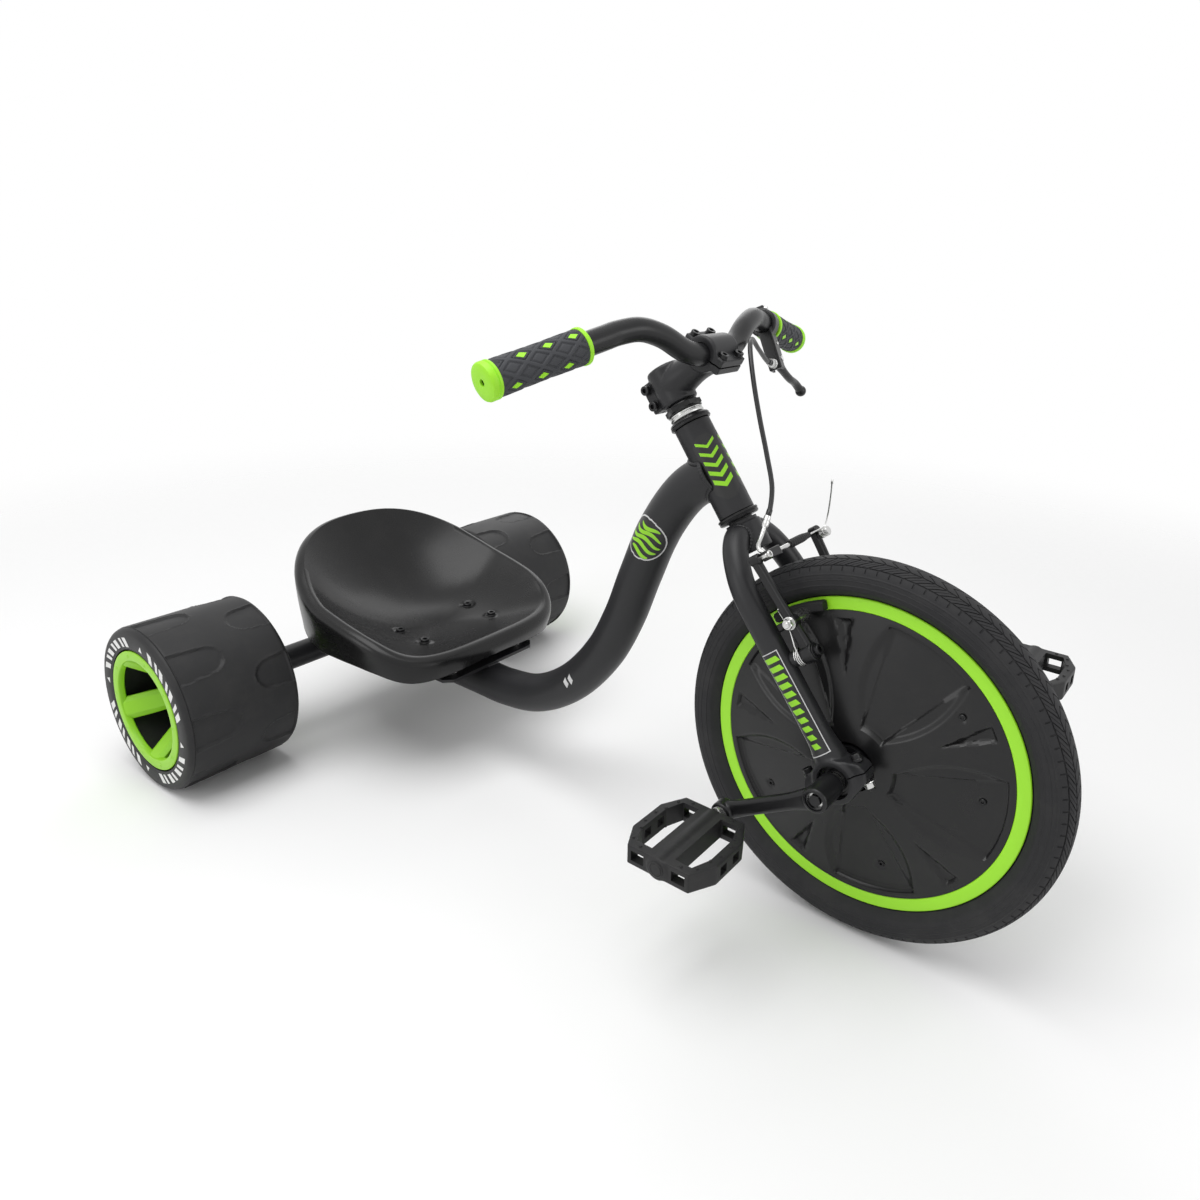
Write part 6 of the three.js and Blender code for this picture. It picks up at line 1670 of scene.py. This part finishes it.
def build_front_wheel(tyres, mouldings):
    build_front_tyre(tyres)
    radii = [25 + 121 * k / 84 for k in range(85)]
    for side, sign in SIDES:
        rows = []
        for i in range(360):
            angle = math.radians(i)
            outline = [(24.6, 32)] + [(r, cover_height(r, i, mouldings)) for r in radii]
            outline += [(146.3, 9.8), (140, 9.6), (110, 9.8), (60, 19.5), (30, 29)]
            rows.append([rolled(r, angle, y * sign) for r, y in outline])
        make_piece(f"wheel_disc_{side}", Shape().grid(rows, wrap_rows=True), "cover_plastic", "front_wheel",
                   WHEEL, (f"wheel_cover_{side}",), sharp=40)
        screws = Shape()
        for radius, degrees in COVER_SCREWS:
            y = cover_height(radius, degrees, mouldings)
            angle = math.radians(degrees)
            at = Matrix.Translation(rolled(radius, angle, 0)) @ along_y(y=y - 0.4)
            screws.add(socket_head(3.0, 1.9), at)
        make_piece(f"cover_screws_{side}", screws, "black_metal", "front_wheel", WHEEL @ mirrored(sign))
    half, flange, well = 12.7, 2.6, 152
    profile = [(146.4, -half + 0.6), (147, -half), (152.6, -half - 0.35), (158.4, -half),
               (159.1, -half + 0.7), (159.1, -half + flange - 0.5), (158.6, -half + flange),
               (well, -half + flange), (well, half - flange), (158.6, half - flange),
               (159.1, half - flange + 0.5), (159.1, half - 0.7), (158.4, half), (152.6, half + 0.35),
               (147, half), (146.4, half - 0.6)]
    make_piece("rim_hoop", Shape().wheel(profile, 300), "rim_paint", "front_wheel", WHEEL, ("front_rim",),
               sharp=20)
    dress("front_hub", "black_metal", 0.4)


# Cranks and pedals

CRANK_LENGTH = 110


def build_cranks():
    bore = Shape().lathe(rod(7.5, -101.6, 101.6), 48, along_y(), closed=False)
    make_piece("spindle_bar", bore, "bright_steel", "cranks", WHEEL, ("crank_spindle",))
    for side, sign in SIDES:
        angle = -math.radians(30) if sign > 0 else math.pi - math.radians(30)
        frame = WHEEL @ Matrix.Rotation(angle, 4, "Y") @ mirrored(sign)
        arm = Shape()
        arm.lathe([(CORE, 71.5), (11.2, 71.5), (12, 72.4), (12, 105), (11.2, 106), (CORE, 106)], 56,
                  along_y())
        arm.lathe([(CORE, 92), (10, 92), (11, 93), (11, 105), (10, 106), (CORE, 106)], 48,
                  moved(CRANK_LENGTH) @ along_y())
        web = []
        for k in range(23):
            x = CRANK_LENGTH * k / 22
            waist = 10.6 - 3.0 * smooth_step(0, 34, x) + 1.2 * smooth_step(80, 110, x)
            deep = 5.4 - 0.6 * smooth_step(0, 50, x)
            web.append([Vector((x, 97.6 + deep * u, waist * w)) for u, w in (
                (-1, -0.6), (-0.6, -1), (0.6, -1), (1, -0.6), (1, 0.6), (0.6, 1), (-0.6, 1), (-1, 0.6))])
        arm.grid(web).cap(web[0]).cap(web[-1])
        cutters = [Shape().lathe([(CORE, 60), (7.8, 60), (7.8, 99), (9.2, 99), (9.2, 120), (CORE, 120)], 48,
                                 along_y()), Shape().lathe(rod(5.3, 80, 120), 32,
                                                           moved(CRANK_LENGTH) @ along_y()),]
        cast_piece(f"crank_forging_{side}", arm, "black_metal", "cranks", frame, (f"crank_arm_{side}",),
                   grain=0.95, rounds=5, cutters=cutters)
        bolt = Shape().lathe(ring(7.6, 9.0, 99, 104.8, 0.3), 48, along_y())
        bolt.lathe(ring(3, 7.8, 99, 101.4, 0.3), 48, along_y())
        bolt.add(hexagon_head(6.2, 3.6), along_y(y=101.4))
        make_piece(f"crank_bolt_{side}", bolt, "black_metal", "cranks", frame)

        station = WHEEL @ moved(CRANK_LENGTH * math.cos(angle), z=-CRANK_LENGTH * math.sin(angle))
        station = station @ mirrored(sign)
        axle = Shape()
        axle.lathe([(CORE, 91.4), (4.4, 91.4), (5, 92), (5, 106), (8.4, 106.4), (8.5, 110.1), (8, 110.4),
                    (6, 110.4), (6, 195.4), (CORE, 195.4)], 48, along_y())
        axle.add(hexagon_head(8.3, 3.2), along_y(y=110.8))
        make_piece(f"pedal_shaft_{side}", axle, "bright_steel", "cranks", station, (f"pedal_axle_{side}",))
        build_pedal(side, station)


def build_pedal(side, station):
    low, high, shoulder = 115, 205, 24.3
    outline = [(-33, low), (33, low), (46, low + shoulder), (46, high - shoulder), (33, high), (-33, high),
               (-46, high - shoulder), (-46, low + shoulder)]
    body = Shape().slab(outline, -10, 10)
    body.lathe(disc(11.2, low, high + 1.4, edge=0.8), 48, along_y())
    cutters = []
    for s in (-1, 1):
        slot = [(s * 12.5, low + 9), (s * 30, low + 9), (s * 37, low + shoulder + 3),
                (s * 37, high - shoulder - 3), (s * 30, high - 9), (s * 12.5, high - 9)]
        cutters.append(Shape().slab(slot, -14, 14))
        # Windows through both ends, under the top and bottom rails.
        cutters.append(Shape().slab(oblong(s * 15, s * 29, low - 6, high + 6),
                                    -5, 5))
        window = oblong(s * 34, s * 60, low + shoulder + 6, low + 40)
        cutters.append(Shape().slab(window, -4.5, 4.5))
        window = [(s * 34, high - 40), (s * 60, high - 40), (s * 60, high - shoulder - 6),
                  (s * 34, high - shoulder - 6)]
        cutters.append(Shape().slab(window, -4.5, 4.5))
    cutters.append(Shape().lathe(rod(6.6, low - 9, low + 83), 32,
                                 along_y()))
    body_name = f"pedal_body_{side}"
    cast_piece(f"pedal_cage_{side}", body, "pedal_plastic", body_name, station, (f"pedal_{side}",), grain=1.1,
               rounds=3, cutters=cutters)
    pins = Shape()
    for x, y in ((-38, 141), (-41.5, 152), (-41.5, 168), (-38, 179), (38, 141), (41.5, 152), (41.5, 168),
                 (38, 179), (-22, 119.5), (22, 119.5), (-22, 200.5), (22, 200.5), (-34.5, 126), (34.5, 126),
                 (-34.5, 194), (34.5, 194)):
        for up in (-1, 1):
            stand = moved(x, y, 9.3 * up) @ Matrix.Diagonal((1, 1, up, 1))
            pins.lathe([(CORE, 0), (1.9, 0), (1.3, 1.6), (CORE, 1.8)], 16, stand)
    cap = along_y(y=206)
    pins.lathe([(CORE, 0), (7.4, 0), (7.6, 0.7), (6.6, 1.2), (6.2, 0.8), (5.6, 0.8), (5.2, 1.3), (CORE, 1.5)],
               44, cap)
    make_piece(f"pedal_pins_{side}", pins, "pedal_plastic", body_name, station)


# Stage

CAMERA_PLACE = (0.62985, -0.7404, 0.66347)
CAMERA_YAW, CAMERA_PITCH, CAMERA_ROLL = math.radians(124.81), math.radians(18.1), math.radians(-2.64)
CAMERA_TIP = math.atan2(7, 769)
LAMPS = (("key_panel", (-0.2, -0.7, 2.6), 2.0, "key"), ("front_panel", (2.9, 0.5, 1.2), 1.3, "fill"),
         ("back_panel", (-1.6, 2.3, 1.9), 1.8, "fill"), ("side_panel", (-0.9, -2.9, 1.3), 1.3, "fill"))


def build_camera():
    camera = bpy.data.cameras.new("photo_camera")
    camera.sensor_width = 36
    camera.lens = 27.36
    camera.shift_x = -0.0683
    camera.shift_y = -0.0611
    camera.clip_end = 60
    c, s = math.cos(CAMERA_YAW), math.sin(CAMERA_YAW)
    forward = Vector((c * math.cos(CAMERA_PITCH), s * math.cos(CAMERA_PITCH), -math.sin(CAMERA_PITCH)))
    right = Vector((s, -c, 0))
    down = forward.cross(right)
    across = math.cos(CAMERA_ROLL) * right + math.sin(CAMERA_ROLL) * down
    downward = math.cos(CAMERA_ROLL) * down - math.sin(CAMERA_ROLL) * right
    tip = Matrix.Rotation(CAMERA_TIP, 3, "Y")
    holder = bpy.data.objects.new("photo_camera", camera)
    bpy.context.collection.objects.link(holder)
    pose = Matrix([tip @ v for v in (across, -downward, -forward)]).transposed().to_4x4()
    pose.translation = Vector(CAMERA_PLACE)
    holder.matrix_world = pose
    bpy.context.scene.camera = holder


def build_stage(studio):
    build_camera()
    half = 4
    mesh = bpy.data.meshes.new("studio_floor")
    mesh.from_pydata([(-half, -half, 0), (half, -half, 0), (half, half, 0), (-half, half, 0)], [],
                     [(0, 1, 2, 3)])
    floor = bpy.data.objects.new("studio_floor", mesh)
    bpy.context.collection.objects.link(floor)
    pale = bpy.data.materials.new("studio_floor")
    pale.use_nodes = True
    tree = pale.node_tree
    shader = tree.nodes["Principled BSDF"]
    shader.inputs["Base Color"].default_value = (*studio.floor, 1)
    shader.inputs["Roughness"].default_value = 0.9
    shader.inputs["Specular IOR Level"].default_value = 0.1
    # The floor fades out with its distance from the trike, so its edge never shows.
    where = place(tree, "ShaderNodeNewGeometry").outputs["Position"]
    away = place(tree, "ShaderNodeVectorMath", {0: where}, operation="LENGTH").outputs["Value"]
    fade = place(tree, "ShaderNodeMapRange", {"Value": away, "From Min": studio.reach * 0.4,
                                              "From Max": studio.reach, "To Min": 1.0, "To Max": 0.0},
                 interpolation_type="SMOOTHSTEP")
    tree.links.new(fade.outputs[0], shader.inputs["Alpha"])
    mesh.materials.append(pale)

    world = bpy.data.worlds.new("studio")
    world.use_nodes = True
    bpy.context.scene.world = world
    tree = world.node_tree
    rays = place(tree, "ShaderNodeLightPath").outputs
    seen = calc(tree, "MAXIMUM", rays["Is Camera Ray"], rays["Is Transmission Ray"])
    seen = calc(tree, "MAXIMUM", seen, rays["Is Glossy Ray"])
    soft = tree.nodes["Background"]
    soft.inputs["Color"].default_value = (1, 1, 1, 1)
    soft.inputs["Strength"].default_value = studio.room
    white = place(tree, "ShaderNodeBackground", {"Color": (1, 1, 1, 1), "Strength": 1.0})
    blend = place(tree, "ShaderNodeMixShader", {0: seen, 1: soft.outputs[0], 2: white.outputs[0]})
    tree.links.new(blend.outputs[0], tree.nodes["World Output"].inputs["Surface"])

    for name, where, size, power in LAMPS:
        lamp = bpy.data.lights.new(name, "AREA")
        lamp.shape = "SQUARE"
        lamp.size = size
        lamp.energy = getattr(studio, power)
        light = bpy.data.objects.new(name, lamp)
        bpy.context.collection.objects.link(light)
        light.location = where
        light.rotation_euler = (Vector((0, 0, 0.2)) - Vector(where)).to_track_quat("-Z", "Y").to_euler()
    bpy.context.scene.view_settings.view_transform = "Standard"


# Operators, one for each group of pieces

def made(build, *settings):
    """Makes one group of pieces, which needs the finishes."""
    if not FINISHES:
        raise RuntimeError("Make the finishes before the pieces")
    build(*settings)
    return {"FINISHED"}


class TRIKE_OT_finishes(bpy.types.Operator):
    """Make every finish of the trike from its colours"""
    bl_idname = "trike.finishes"
    bl_label = "Finishes"

    def execute(self, context):
        make_finishes(context.scene.trike_colours)
        return {"FINISHED"}


class TRIKE_OT_stage(bpy.types.Operator):
    """Set the camera, the pale floor and the soft lights"""
    bl_idname = "trike.stage"
    bl_label = "Stage"

    def execute(self, context):
        build_stage(context.scene.trike_studio)
        return {"FINISHED"}


class TRIKE_OT_tubes(bpy.types.Operator):
    """Make the frame's tubes, welds, seat bracket and bracket bolts"""
    bl_idname = "trike.tubes"
    bl_label = "Frame tubes"

    def execute(self, context):
        return made(build_tubes)


class TRIKE_OT_decals(bpy.types.Operator):
    """Lay the plain printed shapes on the frame and the fork"""
    bl_idname = "trike.decals"
    bl_label = "Decals"

    def execute(self, context):
        return made(build_decals)


class TRIKE_OT_seat(bpy.types.Operator):
    """Make the bucket seat and its bolts"""
    bl_idname = "trike.seat"
    bl_label = "Seat"

    def execute(self, context):
        return made(build_seat, context.scene.trike_mouldings)


class TRIKE_OT_rear_wheels(bpy.types.Operator):
    """Make the slick rear wheels, their hubs, bearings, nuts and axle"""
    bl_idname = "trike.rear_wheels"
    bl_label = "Rear wheels"

    def execute(self, context):
        return made(build_rear_wheels, context.scene.trike_tyres)


class TRIKE_OT_fork(bpy.types.Operator):
    """Make the fork's crown, legs and clamps"""
    bl_idname = "trike.fork"
    bl_label = "Fork"

    def execute(self, context):
        return made(build_fork)


class TRIKE_OT_headset(bpy.types.Operator):
    """Make the headset's cups, cone and nut"""
    bl_idname = "trike.headset"
    bl_label = "Headset"

    def execute(self, context):
        return made(build_headset)


class TRIKE_OT_stem(bpy.types.Operator):
    """Make the stem, its cap and bolts"""
    bl_idname = "trike.stem"
    bl_label = "Stem"

    def execute(self, context):
        return made(build_stem)


class TRIKE_OT_bars(bpy.types.Operator):
    """Make the handlebar and both grips"""
    bl_idname = "trike.bars"
    bl_label = "Handlebar and grips"

    def execute(self, context):
        return made(build_bars, context.scene.trike_mouldings)


class TRIKE_OT_lever(bpy.types.Operator):
    """Make the brake lever, its bracket and cable adjuster"""
    bl_idname = "trike.lever"
    bl_label = "Brake lever"

    def execute(self, context):
        return made(build_lever)


class TRIKE_OT_brake(bpy.types.Operator):
    """Make the brake's arms, shoes, springs and cable"""
    bl_idname = "trike.brake"
    bl_label = "Brake"

    def execute(self, context):
        made(build_brake)
        return made(build_cable)


class TRIKE_OT_front_wheel(bpy.types.Operator):
    """Make the front tyre, rim and disc covers"""
    bl_idname = "trike.front_wheel"
    bl_label = "Front wheel"

    def execute(self, context):
        return made(build_front_wheel, context.scene.trike_tyres, context.scene.trike_mouldings)


class TRIKE_OT_cranks(bpy.types.Operator):
    """Make the crank spindle, arms, pedal axles and pedals"""
    bl_idname = "trike.cranks"
    bl_label = "Cranks and pedals"

    def execute(self, context):
        return made(build_cranks)


SETTINGS = (("trike_colours", TrikeColours), ("trike_tyres", TrikeTyres), ("trike_mouldings", TrikeMouldings),
            ("trike_studio", TrikeStudio))
OPERATORS = (TRIKE_OT_finishes, TRIKE_OT_stage, TRIKE_OT_tubes, TRIKE_OT_decals, TRIKE_OT_seat,
             TRIKE_OT_rear_wheels, TRIKE_OT_fork, TRIKE_OT_headset, TRIKE_OT_stem, TRIKE_OT_bars,
             TRIKE_OT_lever, TRIKE_OT_brake, TRIKE_OT_front_wheel, TRIKE_OT_cranks)


class TRIKE_PT_looks(bpy.types.Panel):
    """Lists the trike's sizes and colours and the operators that make it"""
    bl_idname = "TRIKE_PT_looks"
    bl_label = "Drift trike"
    bl_space_type = "VIEW_3D"
    bl_region_type = "UI"
    bl_category = "Drift trike"

    def draw(self, context):
        for name, group in SETTINGS:
            box = self.layout.box()
            box.label(text=group.__doc__)
            for field in group.__annotations__:
                box.prop(getattr(context.scene, name), field)
        for operator in OPERATORS:
            self.layout.operator(operator.bl_idname)


def register():
    for name, group in SETTINGS:
        bpy.utils.register_class(group)
        setattr(bpy.types.Scene, name, PointerProperty(type=group))
    for kind in (*OPERATORS, TRIKE_PT_looks):
        bpy.utils.register_class(kind)


def unregister():
    for kind in (TRIKE_PT_looks, *reversed(OPERATORS)):
        bpy.utils.unregister_class(kind)
    for name, group in reversed(SETTINGS):
        delattr(bpy.types.Scene, name)
        bpy.utils.unregister_class(group)


def main():
    register()
    bpy.ops.trike.finishes()
    bpy.ops.trike.stage()
    bpy.ops.trike.tubes()
    bpy.ops.trike.decals()
    bpy.ops.trike.seat()
    bpy.ops.trike.rear_wheels()
    bpy.ops.trike.fork()
    bpy.ops.trike.headset()
    bpy.ops.trike.stem()
    bpy.ops.trike.bars()
    bpy.ops.trike.lever()
    bpy.ops.trike.brake()
    bpy.ops.trike.front_wheel()
    bpy.ops.trike.cranks()


if __name__ == "__main__":
    main()
